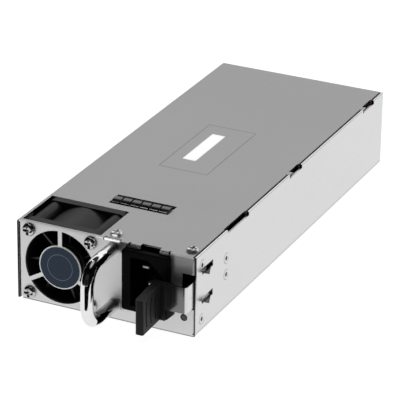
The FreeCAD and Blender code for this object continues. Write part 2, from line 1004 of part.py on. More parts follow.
def front_panel():
    """Front plate with its stamped guard, openings, side and top flanges."""
    body = new_body("front_panel")
    inside = size.sharp_bend - size.sheet
    under = top - size.sheet
    flange = front + size.panel_flange
    behind = front + size.sheet
    add(
        body,
        "top",
        size.sheet,
        under - size.sheet,
        outline(
            (-inner, flange),
            (-inner, front, size.sharp_bend),
            (inner, front, size.sharp_bend),
            (inner, flange),
            (inner - size.sheet, flange),
            (inner - size.sheet, behind, inside),
            (-inner + size.sheet, behind, inside),
            (-inner + size.sheet, flange),
        ),
    )
    ease_corners(body, front - SPILL)
    lip_low = top - size.sheet - size.lip_drop
    thick = size.sheet + 2 * SPILL
    take(
        body,
        "front",
        front - SPILL,
        thick,
        rect(size.lip_left - size.relief / 2, lip_low, size.lip_right + size.relief / 2, top),
        disc(fan_x, fan_z, size.guard_opening),
        disc(half_width - size.led_inset, size.led_z, size.led_hole),
        *[disc(x, z, size.fan_screw_shank + size.screw_play) for x, z in fan_screw_places()],
        *[disc(size.handle_x, z, size.handle_spigot) for z in handle_ends()],
    )
    wide = size.inlet_body_width / 2 + size.cover_gap
    tall = size.inlet_body_height / 2 + size.cover_gap
    opening = rect(size.inlet_x - wide, inlet_z - tall, size.inlet_x + wide, inlet_z + tall)
    take(body, "front", front - SPILL, thick, opening)
    take(
        body,
        "front",
        front - SPILL,
        size.panel_flange + 2 * SPILL,
        rect(
            inner - size.window_width,
            size.window_low,
            inner + SPILL,
            size.window_low + size.window_height,
        ),
    )
    guard(body)
    left = size.slit_left + size.slit_play
    right = size.slit_left + size.slit_width - size.slit_play
    add(body, "front", front, size.sheet, rect(left, under, right, top))
    fillet(body, size.sheet * 0.8, lambda edge: straight(edge, "x") and lies(edge, y=front, z=top))
    for x, y in cover_screw_places():
        reach = size.cover_screw_head / 2 + size.sheet
        add(
            body,
            "top",
            under - size.sheet,
            size.sheet,
            rect(x - reach, behind, x + reach, flange),
        )
        take(body, "top", under - size.sheet - SPILL, thick, disc(x, y, size.cover_screw_shank))
    holes = [disc(y, z, size.rivet_shank) for y, z in wall_rivets()["panel"]]
    take(body, "side", inner - size.sheet - SPILL, thick, *holes)
    return body


def guard(body):
    """The centre disc of the fan guard and the three spokes that hold it."""
    add(body, "front", front, size.sheet, disc(fan_x, fan_z, size.guard_disc))
    overlap = size.sheet / 2
    start = size.guard_disc / 2 - overlap
    reach = size.guard_opening / 2 + overlap - start
    for degrees in (90, 210, 330):
        ahead = (math.cos(math.radians(degrees)), math.sin(math.radians(degrees)))
        aside = (ahead[1], -ahead[0])
        spoke = body.newObject("PartDesign::AdditiveBox", "spoke")
        side = size.guard_spoke / 2
        place(
            spoke,
            fan_x + start * ahead[0] + side * aside[0],
            front,
            fan_z + start * ahead[1] + side * aside[1],
            Rotation(Vector(0, -1, 0), degrees),
        )
        bind(spoke, "Length", reach)
        bind(spoke, "Width", size.sheet)
        bind(spoke, "Height", size.guard_spoke)


def rear_panel():
    """Rear plate with vents, a side tab and the opening for the board's tongue."""
    body = new_body("rear_panel")
    inside = size.bend - size.sheet
    under = top - size.sheet
    flange = back - size.panel_flange
    behind = back - size.sheet
    add(
        body,
        "top",
        size.sheet,
        under - size.sheet,
        outline(
            (-inner, flange),
            (-inner, back, size.bend),
            (inner, back, size.bend),
            (inner, flange),
            (inner - size.sheet, flange),
            (inner - size.sheet, behind, inside),
            (-inner + size.sheet, behind, inside),
            (-inner + size.sheet, flange),
        ),
    )
    ease_corners(body, flange - SPILL)
    thick = size.sheet + 2 * SPILL
    reach = size.tongue_width / 2 + size.tongue_gap
    tongue = rect(-reach, board_low - size.tongue_gap, reach, board_top + size.tongue_gap)
    take(body, "front", behind - SPILL, thick, tongue)
    add(
        body,
        "side",
        inner - size.sheet,
        size.sheet,
        outline(
            (behind, size.rear_tab_low),
            (back + size.rear_tab_rise, size.rear_tab_low + size.rear_tab_taper),
            (back + size.rear_tab_rise, size.rear_tab_low + size.rear_tab_height),
            (behind, size.rear_tab_low + size.rear_tab_height),
        ),
    )
    step = size.vent_pitch
    rise = step * HEX_RISE
    left = -step * (size.vent_columns - 1) / 2
    vents = [
        (left, size.vent_low, VENT_ROWS_EVEN, 0),
        (left + step / 2, size.vent_low + rise, VENT_ROWS_ODD, 1),
    ]
    for x, z, rows, missing in vents:
        vent = take(body, "front", behind - SPILL, thick, hexagon(x, z, size.vent))
        grid(body, vent, step, SIZES["vent_columns"] - missing, rise * 2, rows)
    return body


def ease_corners(body, start):
    """Trims the flanges' upper and lower edges clear of the bends they meet."""
    ease = size.bend - size.sheet + size.cover_gap
    length = size.panel_flange + 2 * SPILL
    low = size.sheet - SPILL
    high = top - size.sheet - ease
    take(
        body,
        "front",
        start,
        length,
        rect(-inner - SPILL, low, -inner + ease, size.sheet + ease),
        rect(inner - ease, low, inner + SPILL, size.sheet + ease),
        rect(-inner - SPILL, high, -inner + ease, top),
        rect(inner - ease, high, inner + SPILL, top),
    )


def hexagon(x, z, across):
    """A hexagon with a corner up, measured across its flats."""
    reach = across / math.sqrt(3)
    corners = []
    for number in range(6):
        angle = math.radians(30 + 60 * number)
        corners.append((x + reach * math.cos(angle), z + reach * math.sin(angle)))
    return ("outline", corners)


# Fan


def new_fan_body(label):
    return new_body(label, fan_x, fan_front, fan_z)


def fan_holes():
    reach = size.fan_hole_pitch / 2
    return [(i * reach, k * reach) for i in (-1, 1) for k in (-1, 1)]


def fan_gasket():
    """Soft gasket between the front plate and the fan."""
    body = new_body("fan_gasket", fan_x, front + size.sheet, fan_z)
    wide = size.fan_side / 2 - size.bend + size.sheet
    tall = size.fan_side / 2 - size.sheet
    add(
        body,
        "front",
        0,
        size.fan_gasket,
        rect(-wide, -tall, wide, tall),
        disc(0, 0, size.guard_opening),
        *[disc(x, z, size.fan_hole) for x, z in fan_holes()],
    )
    return body


def fan_frame():
    """Square housing with two flanges, a barrel and struts to the motor's tube."""
    body = new_fan_body("fan_frame")
    half = size.fan_side / 2
    last = size.fan_depth - size.fan_flange
    square = rect(-half, -half, half, half, size.fan_corner)
    add(body, "front", 0, size.fan_flange, square)
    add(body, "front", last, size.fan_flange, square)
    add(body, "front", 0, size.fan_depth, disc(0, 0, size.fan_barrel))
    add(body, "front", 0, size.fan_depth, *[disc(x, z, size.fan_boss) for x, z in fan_holes()])
    take(body, "front", -SPILL, size.fan_depth + 2 * SPILL, disc(0, 0, size.fan_bore))
    holes = [disc(x, z, size.fan_hole) for x, z in fan_holes()]
    take(body, "front", -SPILL, size.fan_depth + 2 * SPILL, *holes)
    rear = size.fan_depth - size.fan_strut_depth
    add(body, "front", rear, size.fan_strut_depth, disc(0, 0, size.rotor_hub))
    reach = size.fan_bore / 2 + size.sheet / 2
    side = size.fan_strut_width / 2
    strut = add(
        body,
        "front",
        rear,
        size.fan_strut_depth,
        rect(-side, size.rotor_hub / 2 - size.sheet, side, reach),
    )
    polar(body, strut, "Y_Axis", 4)
    tube_start = size.rotor_inset + TUBE_START
    add(body, "front", tube_start, rear - tube_start + size.sheet, disc(0, 0, size.bearing_tube))
    take(body, "front", tube_start - SPILL, rear - tube_start + SPILL, disc(0, 0, size.bearing_outer))
    return body


def bearing_starts():
    first = size.rotor_inset + TUBE_START + size.sheet
    last = size.fan_depth - size.fan_strut_depth - size.bearing_depth - 2 * size.sheet
    return [first, last]


def fan_bearings():
    """Two bearing rings in the tube, one near each end of the shaft."""
    body = new_fan_body("fan_bearings")
    bore = size.shaft + 2 * size.shaft_play
    for start in bearing_starts():
        add(body, "front", start, size.bearing_depth, disc(0, 0, size.bearing_outer), disc(0, 0, bore))
    return body


def magnet_bore():
    return size.rotor_hub - 2 * size.rotor_wall - 2 * size.magnet_wall


def fan_stator():
    """The motor's wound core around the bearing tube, with four poles."""
    body = new_fan_body("fan_stator")
    outer = magnet_bore() - 2 * size.stator_gap
    start = size.rotor_inset + STATOR_START
    add(body, "front", start, size.stator_depth, disc(0, 0, outer), disc(0, 0, size.bearing_tube))
    slot = take(
        body,
        "front",
        start - SPILL,
        size.stator_depth + 2 * SPILL,
        rect(-size.sheet / 2, size.bearing_tube / 2 + size.sheet, size.sheet / 2, outer / 2 + SPILL),
    )
    polar(body, slot, "Y_Axis", 4)
    return body


def rotor_magnet():
    """Ring magnet inside the rotor's cup."""
    body = new_fan_body("rotor_magnet")
    start = size.rotor_inset + STATOR_START - size.sheet
    outer = size.rotor_hub - 2 * size.rotor_wall
    depth = size.stator_depth + 2 * size.sheet
    add(body, "front", start, depth, disc(0, 0, outer), disc(0, 0, magnet_bore()))
    return body


def fan_shaft():
    """Steel shaft fixed in the rotor's boss."""
    body = new_fan_body("fan_shaft")
    start = size.rotor_inset + size.rotor_wall
    end = bearing_starts()[1] + size.bearing_depth + size.sheet
    add(body, "front", start, end - start, disc(0, 0, size.shaft))
    return body


def fan_impeller():
    """Rotor cup with seven twisted blades, trimmed to the bore."""
    body = new_fan_body("fan_impeller")
    wall = size.rotor_wall
    cup = size.rotor_hub - 2 * wall
    add(body, "front", size.rotor_inset, size.rotor_depth, disc(0, 0, size.rotor_hub))
    fillet(body, wall * 0.8, lambda edge: lies(edge, y=size.rotor_inset))
    blades(body)
    boss_end = TUBE_START - size.sheet / 2
    take(
        body,
        "front",
        size.rotor_inset + wall,
        size.rotor_depth,
        disc(0, 0, cup),
        disc(0, 0, size.bearing_tube),
    )
    take(
        body,
        "front",
        size.rotor_inset + boss_end,
        size.rotor_depth,
        disc(0, 0, size.bearing_tube + SPILL),
    )
    take(body, "front", size.rotor_inset + wall, size.rotor_depth, disc(0, 0, size.shaft))
    return body


def blades(body):
    """Lofts one blade from the hub to the tip and repeats it round the axis."""
    hub_x = size.rotor_hub / 2 - 2 * size.rotor_wall
    tip_radius = size.fan_bore / 2 - size.blade_gap
    start = size.rotor_inset + size.sheet
    length = size.rotor_depth - 2 * size.sheet
    sections = []
    for x, sweep in ((hub_x, BLADE_SWEEP_ROOT), (tip_radius + size.blade_gap, BLADE_SWEEP_TIP)):
        side = size.blade_thickness / 2
        shape = outline(
            (start, -sweep - side),
            (start, -sweep + side),
            (start + length, sweep + side),
            (start + length, sweep - side),
        )
        sections.append(draw(body, "side", x, [shape]))
    loft = body.newObject("PartDesign::AdditiveLoft", "blade")
    loft.Profile = sections[0]
    loft.Sections = [(sections[1], [""])]
    polar(body, loft, "Y_Axis", BLADE_COUNT)
    take(
        body,
        "front",
        0,
        size.fan_depth,
        disc(0, 0, tip_radius * 2),
        disc(0, 0, size.fan_side * 1.5),
    )


# Fasteners


def fan_screws():
    """Four pan-head screws that hold the fan to the front plate."""
    body = new_body("fan_screws")
    places = fan_screw_places()
    head = size.fan_screw_head
    face = front - size.fan_screw_rise
    add(body, "front", face, size.fan_screw_rise, *[disc(x, z, head) for x, z in places])
    fillet(body, size.fan_screw_rise * 0.9, lambda edge: lies(edge, y=face))
    add(body, "front", front, size.fan_screw_length, *[disc(x, z, size.fan_screw_shank) for x, z in places])
    recess = [cross(x, z, head * CROSS_LENGTH, head * CROSS_WIDTH) for x, z in places]
    take(body, "front", face - SPILL, size.fan_screw_rise * 0.7 + SPILL, *recess)
    return body


def cover_screws():
    """Two pan-head screws that hold the cover to the front panel's flanges."""
    body = new_body("cover_screws")
    places = cover_screw_places()
    head = size.cover_screw_head
    add(body, "top", top, size.cover_screw_rise, *[disc(x, y, head) for x, y in places])
    face = top + size.cover_screw_rise
    fillet(body, size.cover_screw_rise * 0.85, lambda edge: lies(edge, z=face))
    length = size.cover_screw_length
    add(body, "top", top - length, length, *[disc(x, y, size.cover_screw_shank) for x, y in places])
    recess = [cross(x, y, head * CROSS_LENGTH, head * CROSS_WIDTH) for x, y in places]
    take(body, "top", face - size.cover_screw_rise * 0.7, size.cover_screw_rise, *recess)
    return body


def rivets(label, places, grip):
    """Flush countersunk rivets through the right wall, each with a dimple."""
    body = new_body(label)
    for y, z in places:
        primitive(
            body,
            "AdditiveCone",
            "x",
            inner,
            y,
            z,
            Radius1=size.rivet_shank / 2,
            Radius2=size.rivet_head / 2 - size.rivet_ring,
            Height=size.sheet,
        )
        primitive(
            body,
            "AdditiveCylinder",
            "x",
            inner - grip,
            y,
            z,
            Radius=size.rivet_shank / 2,
            Height=grip,
        )
        primitive(
            body,
            "AdditiveCylinder",
            "x",
            inner - grip - size.rivet_tail_depth,
            y,
            z,
            Radius=size.rivet_tail / 2,
            Height=size.rivet_tail_depth,
        )
    dimples = [disc(y, z, size.rivet_dimple) for y, z in places]
    take(body, "side", half_width - size.sheet * 0.6, size.sheet, *dimples)
    return body


def board_screws():
    """Six screws that hold the board to its standoffs."""
    body = new_body("board_screws")
    places = standoff_places()
    heads = [disc(x, y, size.board_screw_head) for x, y in places]
    add(body, "top", board_top, size.board_screw_rise, *heads)
    face = board_top + size.board_screw_rise
    chamfer(body, size.board_screw_rise * 0.4, lambda edge: lies(edge, z=face))
    length = size.board + size.standoff * 0.8
    add(body, "top", board_top - length, length, *[disc(x, y, size.board_screw_shank) for x, y in places])
    return body


# Handle and inlet


def handle():
    """Round steel rod bent to a grip, with shouldered and tapped ends."""
    body = new_body("handle", size.handle_x, front, 0)
    low, high = handle_ends()
    reach = -size.handle_reach
    bend = size.handle_bend
    pipe(
        body,
        "side",
        0,
        [(0, low), (reach, low, bend), (reach, high, bend), (0, high)],
        size.handle_rod,
        "front",
        0,
        (0, low),
    )
    for z in (low, high):
        add(body, "front", 0, size.sheet, disc(0, z, size.handle_spigot))
        depth = size.handle_tap_depth
        take(body, "front", size.sheet - depth, depth, disc(0, z, size.handle_tap))
    return body


def handle_screws():
    """Two screws behind the plate that pull the handle's ends against it."""
    body = new_body("handle_screws", size.handle_x, front + size.sheet, 0)
    rise = size.handle_screw_rise
    head = size.handle_screw_head
    length = size.handle_screw_length
    add(body, "front", 0, rise, *[disc(0, z, head) for z in handle_ends()])
    add(body, "front", -length, length, *[disc(0, z, size.handle_tap) for z in handle_ends()])
    recess = [cross(0, z, head * CROSS_LENGTH, head * CROSS_WIDTH) for z in handle_ends()]
    take(body, "front", rise / 2, rise, *recess)
    return body


def inlet_pin_places():
    """Middles of the line, neutral and earth pins and each one's lead."""
    x = size.socket_shift_x
    z = size.socket_shift_z
    live = x - size.pin_offset
    return [
        (live, z + size.pin_spread, 0),
        (live, z - size.pin_spread, 0),
        (x + size.pin_offset, z, size.earth_lead),
    ]


def inlet_housing():
    """Moulded socket whose two corners are cut off on the earth pin's side."""
    body = new_body("inlet_housing", size.inlet_x, front, inlet_z)
    wide = size.inlet_flange_width / 2
    tall = size.inlet_flange_height / 2
    flange = rect(-wide, -tall, wide, tall, size.inlet_round)
    add(body, "front", -size.inlet_rise, size.inlet_rise, flange)
    fillet(body, size.inlet_round * 0.5, lambda edge: lies(edge, y=-size.inlet_rise))
    wide = size.inlet_body_width / 2
    tall = size.inlet_body_height / 2
    add(body, "front", 0, size.inlet_body_depth, rect(-wide, -tall, wide, tall))
    left = size.socket_shift_x - size.socket_width / 2
    right = size.socket_shift_x + size.socket_width / 2
    low = size.socket_shift_z - size.socket_height / 2
    high = size.socket_shift_z + size.socket_height / 2
    cut = size.socket_chamfer
    socket = outline(
        (left, low),
        (right - cut, low),
        (right, low + cut * 0.9),
        (right, high - cut * 0.9),
        (right - cut, high),
        (left, high),
    )
    take(body, "front", -size.inlet_rise - SPILL, size.socket_depth + SPILL, socket)
    slots = [pin_shape(x, z) for x, z, lead in inlet_pin_places()]
    take(body, "front", 0, size.inlet_body_depth + SPILL, *slots)
    return body


def pin_shape(x, z):
    wide = size.pin_width / 2
    tall = size.pin_thickness / 2
    return rect(x - wide, z - tall, x + wide, z + tall)


def is_tip(edge, start, z):
    """True for the four edges of the pin's end that lies at start, round height z."""
    return lies(edge, y=start) and abs(edge.CenterOfMass.z - as_size(z).number) < size.pin_thickness.number


def inlet_pins():
    """Three flat pins, each with a tag behind the housing."""
    body = new_body("inlet_pins", size.inlet_x, front, inlet_z)
    for x, z, lead in inlet_pin_places():
        start = size.pin_recess - size.inlet_rise - lead
        add(body, "front", start, size.inlet_body_depth - start, pin_shape(x, z))
        chamfer(body, size.pin_tip, lambda edge: is_tip(edge, start, z))
        wide = size.tag_width / 2
        tall = size.tag_thickness / 2
        tag = rect(x - wide, z - tall, x + wide, z + tall)
        add(body, "front", size.inlet_body_depth, size.tag_length, tag)
    return body


def status_led():
    """Small indicator whose lens fills the hole beside the latch."""
    body = new_body("status_led", half_width - size.led_inset, front, size.led_z)
    add(body, "front", 0, size.led_depth, disc(0, 0, size.led_lens))
    fillet(body, size.led_lens * 0.2, lambda edge: lies(edge, y=0))
    add(body, "front", size.sheet, size.sheet, disc(0, 0, size.led_rim))
    return body


def led_leads():
    """Two insulated wires from the indicator back to the board."""
    body = new_body("led_leads", half_width - size.led_inset, front, 0)
    run = board_start - front + size.led_wire_inset
    for side in (-1, 1):
        x = side * size.led_wire_pitch / 2
        path = [
            (size.led_depth, size.led_z),
            (run, size.led_z, size.led_wire),
            (run, board_top),
        ]
        pipe(body, "side", x, path, size.led_wire, "front", size.led_depth, (x, size.led_z))
    return body


# Latch


def latch_leaf_low():
    return size.latch_z - size.leaf_height / 2


def latch_spring_base():
    """The leaf spring's fixed end, riveted to the right wall."""
    body = new_body("latch_spring_base")
    low = latch_leaf_low()
    high = low + size.leaf_height
    start = front + size.latch_hinge + size.latch_slit / 2
    add(body, "side", leaf_inside, size.leaf, rect(start, low, start + size.latch_root, high))
    holes = [disc(y, z, size.rivet_shank) for y, z in wall_rivets()["latch"]]
    take(body, "side", leaf_inside - SPILL, size.leaf + 2 * SPILL, *holes)
    return body


def latch_spring_arm():
    """The leaf spring's moving arm, with two folded teeth and a turned end."""
    body = new_body("latch_spring_arm")
    low = latch_leaf_low()
    high = low + size.leaf_height
    start = front + size.latch_hinge - size.latch_slit / 2
    reach = front - size.latch_reach
    add(
        body,
        "top",
        low,
        high - low,
        outline(
            (leaf_outside, start),
            (leaf_outside, reach, size.bend),
            (size.tab_x, reach),
            (size.tab_x, reach + size.leaf),
            (leaf_inside, reach + size.leaf, size.bend - size.leaf),
            (leaf_inside, start),
        ),
    )
    first = front + size.tooth_front - 2 * size.sheet
    take(
        body,
        "side",
        size.tab_x - SPILL,
        leaf_outside - size.tab_x + 2 * SPILL,
        rect(reach - SPILL, low + size.strip_height, first, high + SPILL),
    )
    for height in tooth_heights():
        add(
            body,
            "top",
            height - size.leaf / 2,
            size.leaf,
            outline(
                (leaf_inside, front + size.tooth_front),
                (half_width, front + size.tooth_front),
                (half_width + size.tooth_rise, front + size.tooth_tip),
                (half_width, front + size.tooth_back),
                (leaf_inside, front + size.tooth_back + size.sheet),
            ),
        )
    return body


def latch_tab():
    """Moulded thumb tab that grips the arm's turned end."""
    body = new_body("latch_tab")
    near = front - size.latch_reach
    far = near + size.leaf
    low = size.tab_low
    left = size.tab_x - size.tab_blade / 2
    right = size.tab_x + size.tab_blade / 2
    face = front - size.tab_reach
    root_y = near - size.tab_front_wall
    high = low + size.tab_height
    side = outline(
        (face, low - size.tab_drop_low),
        (root_y, low),
        (root_y, high),
        (face, high - size.tab_drop_high),
    )
    add(body, "side", left, size.tab_blade, side)
    fillet(body, size.tab_round, lambda edge: straight(edge, "z") and lies(edge, y=face))
    base = rect(size.tab_base_left, near - size.tab_front_wall, size.tab_base_back, far + size.tab_back_wall)
    add(body, "top", low, size.tab_height, base)
    take(
        body,
        "top",
        low - SPILL,
        size.tab_height + 2 * SPILL,
        rect(size.tab_base_front, near - size.tab_front_wall - SPILL, size.tab_base_back + SPILL, near),
    )
    chamfer(
        body,
        size.tab_corner,
        lambda edge: straight(edge, "y") and lies(edge, x=size.tab_base_back, z=low),
    )
    strip_low = latch_leaf_low()
    take(
        body,
        "top",
        strip_low,
        size.strip_height,
        rect(size.tab_x, near, size.tab_base_back + SPILL, far),
    )
    grooves = [tab_groove(face, number) for number in range(3)]
    take(body, "side", right - size.tab_groove_depth, size.tab_groove_depth + SPILL, *grooves)
    return body


def tab_groove(face, number):
    """A bowed groove in the tab's side, drawn between two equal arcs."""
    y = face + size.tab_round + size.tab_groove_pitch * (number + 0.4)
    drop = (size.tab_drop_low + size.tab_drop_high) / 2
    middle = size.tab_low + size.tab_height / 2 - drop / 2
    half = size.tab_height / 2 - size.tab_groove_margin
    bow = size.tab_groove_bow
    radius = (half * half + bow * bow) / (2 * bow)
    ends = [(y + bow + step, middle + side * half) for step in (0, size.tab_groove) for side in (-1, 1)]
    pieces = [
        ("arc", ends[0], ends[1], (y + radius, middle), radius),
        ("line", ends[1], ends[3]),
        ("arc", ends[3], ends[2], (y + radius + size.tab_groove, middle), radius),
        ("line", ends[2], ends[0]),
    ]
    return ("pieces", pieces)


# Earthing fingers, label and sticker


def arch(run, rise):
    """Radius of an arc that is level at one end and falls by rise over run."""
    return (run * run + rise * rise) / (2 * rise)


def emi_strip():
    """Spine of the earthing strip, under the cover in front of the fingers."""
    body = new_body("emi_strip")
    hinge = finger_hinge
    metal = size.finger_thickness
    edge = hinge - metal
    under = top - size.sheet
    length = size.finger_pitch * (size.finger_count - 1) + size.finger_width
    add(
        body,
        "side",
        size.finger_left,
        length,
        outline(
            (hinge - size.finger_spine, under - metal),
            (edge, under - metal),
            (edge, under + metal),
            (edge - metal, under + metal),
            (edge - metal, under),
            (hinge - size.finger_spine, under),
        ),
    )
    return body


def emi_fingers():
    """Six arched spring fingers that stand proud of the cover, steepest behind."""
    body = new_body("emi_fingers")
    hinge = finger_hinge
    metal = size.finger_thickness
    crown_y = hinge + size.finger_crown
    crown_z = top + size.finger_rise
    front_z = top + size.finger_front_rise
    end = (hinge + size.finger_reach, top - size.finger_drop)
    under = top - size.sheet
    near = arch(size.finger_crown, size.finger_rise - size.finger_front_rise)
    far = arch(size.finger_reach - size.finger_crown, size.finger_rise + size.finger_drop)
    near_centre = (crown_y, crown_z - near)
    far_centre = (crown_y, crown_z - far)
    share = (far - metal) / far
    inner_end = tuple(middle + (point - middle) * share for middle, point in zip(far_centre, end))
    foot = size.finger_crown - metal
    rise = near_centre[1] + root((near - metal) * (near - metal) - foot * foot)
    crown = (crown_y, crown_z)
    under_crown = (crown_y, crown_z - metal)
    pieces = [
        ("arc", end, crown, far_centre, far),
        ("arc", crown, (hinge, front_z), near_centre, near),
        ("line", (hinge, front_z), (hinge, under)),
        ("line", (hinge, under), (hinge + metal, under)),
        ("line", (hinge + metal, under), (hinge + metal, rise)),
        ("arc", (hinge + metal, rise), under_crown, near_centre, near - metal),
        ("arc", under_crown, inner_end, far_centre, far - metal),
        ("line", inner_end, end),
    ]
    finger = add(body, "side", size.finger_left, size.finger_width, ("pieces", pieces))
    row(body, finger, "X_Axis", size.finger_pitch, SIZES["finger_count"])
    return body


def hub_label():
    """Thin round plate on the guard's centre disc."""
    body = new_body("hub_label")
    thick = size.label_thickness
    add(body, "front", front - thick, thick, disc(fan_x, fan_z, size.label_disc))
    return body


def blank_sticker():
    """Bare sticker on the cover."""
    body = new_body("blank_sticker")
    start = front + size.sticker_front
    half = size.sticker_width / 2
    shape = rect(size.sticker_x - half, start, size.sticker_x + half, start + size.sticker_length)
    add(body, "top", top, size.sticker_thickness, shape)
    return body


# Board and what stands on it


def standoff_places():
    reach = board_width / 2 - size.board_hole_inset
    inset = size.board_hole_inset
    rows = [board_start + inset, board_start + along("board_hole_middle"), board_end - inset]
    return [(side * reach, y) for y in rows for side in (-1, 1)]


def insulating_sheet():
    """Thin insulating film between the bottom and the board."""
    body = new_body("insulating_sheet")
    reach = board_width / 2 + size.insulator
    add(
        body,
        "top",
        size.sheet,
        size.insulator,
        rect(-reach, board_start, reach, board_end),
        *[disc(x, y, size.standoff_outer + size.screw_play) for x, y in standoff_places()],
    )
    return body


def board_standoffs():
    """Six threaded posts between the bottom and the board."""
    body = new_body("board_standoffs")
    bore = size.board_screw_shank
    for x, y in standoff_places():
        post = disc(x, y, size.standoff_outer)
        add(body, "top", size.sheet, size.standoff, post, disc(x, y, bore))
    return body


def main_board():
    """Board whose rear tongue reaches out through the rear panel."""
    body = new_body("main_board")
    reach = board_width / 2
    shoulder = board_end
    tongue = size.tongue_width / 2
    add(
        body,
        "top",
        board_low,
        size.board,
        outline(
            (-reach, board_start),
            (reach, board_start),
            (reach, shoulder),
            (tongue, shoulder),
            (tongue, back + size.tongue_length),
            (-tongue, back + size.tongue_length),
            (-tongue, shoulder),
            (-reach, shoulder),
        ),
    )
    holes = [disc(x, y, size.board_hole) for x, y in standoff_places()]
    take(body, "top", board_low - SPILL, size.board + 2 * SPILL, *holes)
    return body


def edge_contacts():
    """Gold contacts above and below the board's tongue."""
    body = new_body("edge_contacts")
    left = -(size.contact_pitch * (size.contact_count - 1) + size.contact_width) / 2
    end = back + size.tongue_length - size.sheet
    for z in (board_top, board_low - size.contact_metal):
        strip = rect(left, end - size.contact_length, left + size.contact_width, end)
        pad = add(body, "top", z, size.contact_metal, strip)
        row(body, pad, "X_Axis", size.contact_pitch, SIZES["contact_count"])
    return body


def fuse():
    """Ceramic fuse with a cap at each end, lying on the board."""
    start_y = board_start + along("fuse_front")
    body = new_body("fuse", across("fuse_x"), start_y, board_top + size.fuse_diameter / 2)
    add(body, "front", 0, size.fuse_length, disc(0, 0, size.fuse_diameter - size.solder_gap))
    for start in (0, size.fuse_length - size.fuse_cap):
        add(body, "front", start, size.fuse_cap, disc(0, 0, size.fuse_diameter))
        foot = size.fuse_diameter / 2
        side = size.sheet / 2
        add(body, "front", start + size.sheet, size.fuse_cap - 2 * size.sheet, rect(-side, -foot, side, 0))
    return body


def relay():
    """Inrush relay in a sealed case."""
    x = across("relay_x")
    y = board_start + size.fan_plug_inset + size.fan_plug_length + size.relay_gap
    return block("relay", x, y, size.relay_width, size.relay_length, size.relay_height, size.sheet)


def block(label, x, y, width, length, height, radius):
    """A moulded block on the board, with rounded upright edges."""
    body = new_body(label, x, y, board_top)
    add(body, "top", 0, height, rect(-width / 2, 0, width / 2, length, radius))
    return body


def x_capacitors():
    """Two box capacitors across the mains."""
    last_lead = size.mains_lead_inset + size.mains_lead_pitch * 2 + size.mains_lead / 2
    start = board_start + last_lead + size.x_cap_gap
    body = new_body("x_capacitors", across("x_cap_x"), start, board_top)
    wide = size.x_cap_length / 2
    for number in range(2):
        x = -number * across("x_cap_pitch")
        add(body, "top", 0, size.x_cap_height, rect(x - wide, 0, x + wide, size.x_cap_width, size.sheet / 2))
    return body


def y_capacitors():
    """Two disc capacitors to earth, standing on their leads."""
    y = board_start + along("y_cap_front") - size.y_cap_thickness
    body = new_body("y_capacitors", across("y_cap_x"), y, board_top)
    radius = size.y_cap_diameter / 2
    lead = size.sheet / 2
    for number in range(2):
        x = -number * across("y_cap_pitch")
        add(body, "front", 0, size.y_cap_thickness, disc(x, radius + size.sheet, size.y_cap_diameter))
        for side in (-1, 1):
            middle = x + side * radius / 2
            y = size.y_cap_thickness / 2
            leg = rect(middle - lead / 2, y - lead / 2, middle + lead / 2, y + lead / 2)
            add(body, "top", 0, radius + size.sheet, leg)
    return body


def choke_places():
    return [-number * across("choke_pitch") for number in range(2)]


def choke_outer():
    return across("choke_pitch") - 2 * size.winding - size.choke_gap


def new_choke_body(label, inset):
    """A body at the first mains choke's middle, moved back by the inset."""
    middle = board_top + choke_outer() / 2 + size.winding + size.solder_gap
    return new_body(label, across("choke_x"), board_start + along("choke_front") + inset, middle)


def common_mode_cores():
    """Ring cores of the two mains chokes, standing across the air."""
    body = new_choke_body("common_mode_cores", 0)
    bore = size.choke_inner + 2 * size.winding
    for x in choke_places():
        add(body, "front", 0, size.choke_depth, disc(x, 0, choke_outer()), disc(x, 0, bore))
    return body


def common_mode_windings():
    """Wire sleeves around both halves of each mains choke."""
    body = new_choke_body("common_mode_windings", -size.winding)
    depth = size.choke_depth + 2 * size.winding
    outer = choke_outer() + 2 * size.winding
    for x in choke_places():
        add(body, "front", 0, depth, disc(x, 0, outer), disc(x, 0, size.choke_inner))
    for x in choke_places():
        take(
            body,
            "front",
            size.winding,
            size.choke_depth,
            disc(x, 0, choke_outer()),
            disc(x, 0, size.choke_inner + 2 * size.winding),
        )
        split = size.winding * 1.5
        take(body, "front", -SPILL, depth + 2 * SPILL, rect(x - split, -outer, x + split, outer))
    return body


def bulk_diameter():
    return across("bulk_pitch") - size.bulk_gap


def bulk_capacitors():
    """Two large capacitors that lie side by side along the case."""
    middle = board_top + bulk_diameter() / 2 + size.solder_gap
    body = new_body("bulk_capacitors", across("bulk_x"), board_start + along("bulk_front"), middle)
    length = along("bulk_length")
    places = [0, -across("bulk_pitch")]
    add(body, "front", 0, length, *[disc(x, 0, bulk_diameter()) for x in places])
    chamfer(body, size.sheet * 0.8, lambda edge: any(lies(edge, y=y) for y in (0, length)))
    return body


def sink_left():
    return -board_width / 2 + size.sink_inset


def primary_heatsink():
    """Finned bar along the left wall that cools the switching devices."""
    body = new_body("primary_heatsink", sink_left(), board_start + along("sink_front"), board_top)
    length = along("sink_length")
    fin_end = size.sink_base + size.sink_fin_length
    add(body, "top", 0, size.sink_height, rect(0, 0, size.sink_base, length))
    rise = (size.sink_height - size.sink_fin) / (size.sink_fin_count - 1)
    fin = add(body, "top", 0, size.sink_fin, rect(size.sink_base, 0, fin_end, length))
    row(body, fin, "Z_Axis", rise, SIZES["sink_fin_count"])
    start = length - size.device_pitch * 3
    take(
        body,
        "top",
        -SPILL,
        size.sink_height + 2 * SPILL,
        rect(size.sink_base, start, fin_end + SPILL, length + SPILL),
    )
    return body


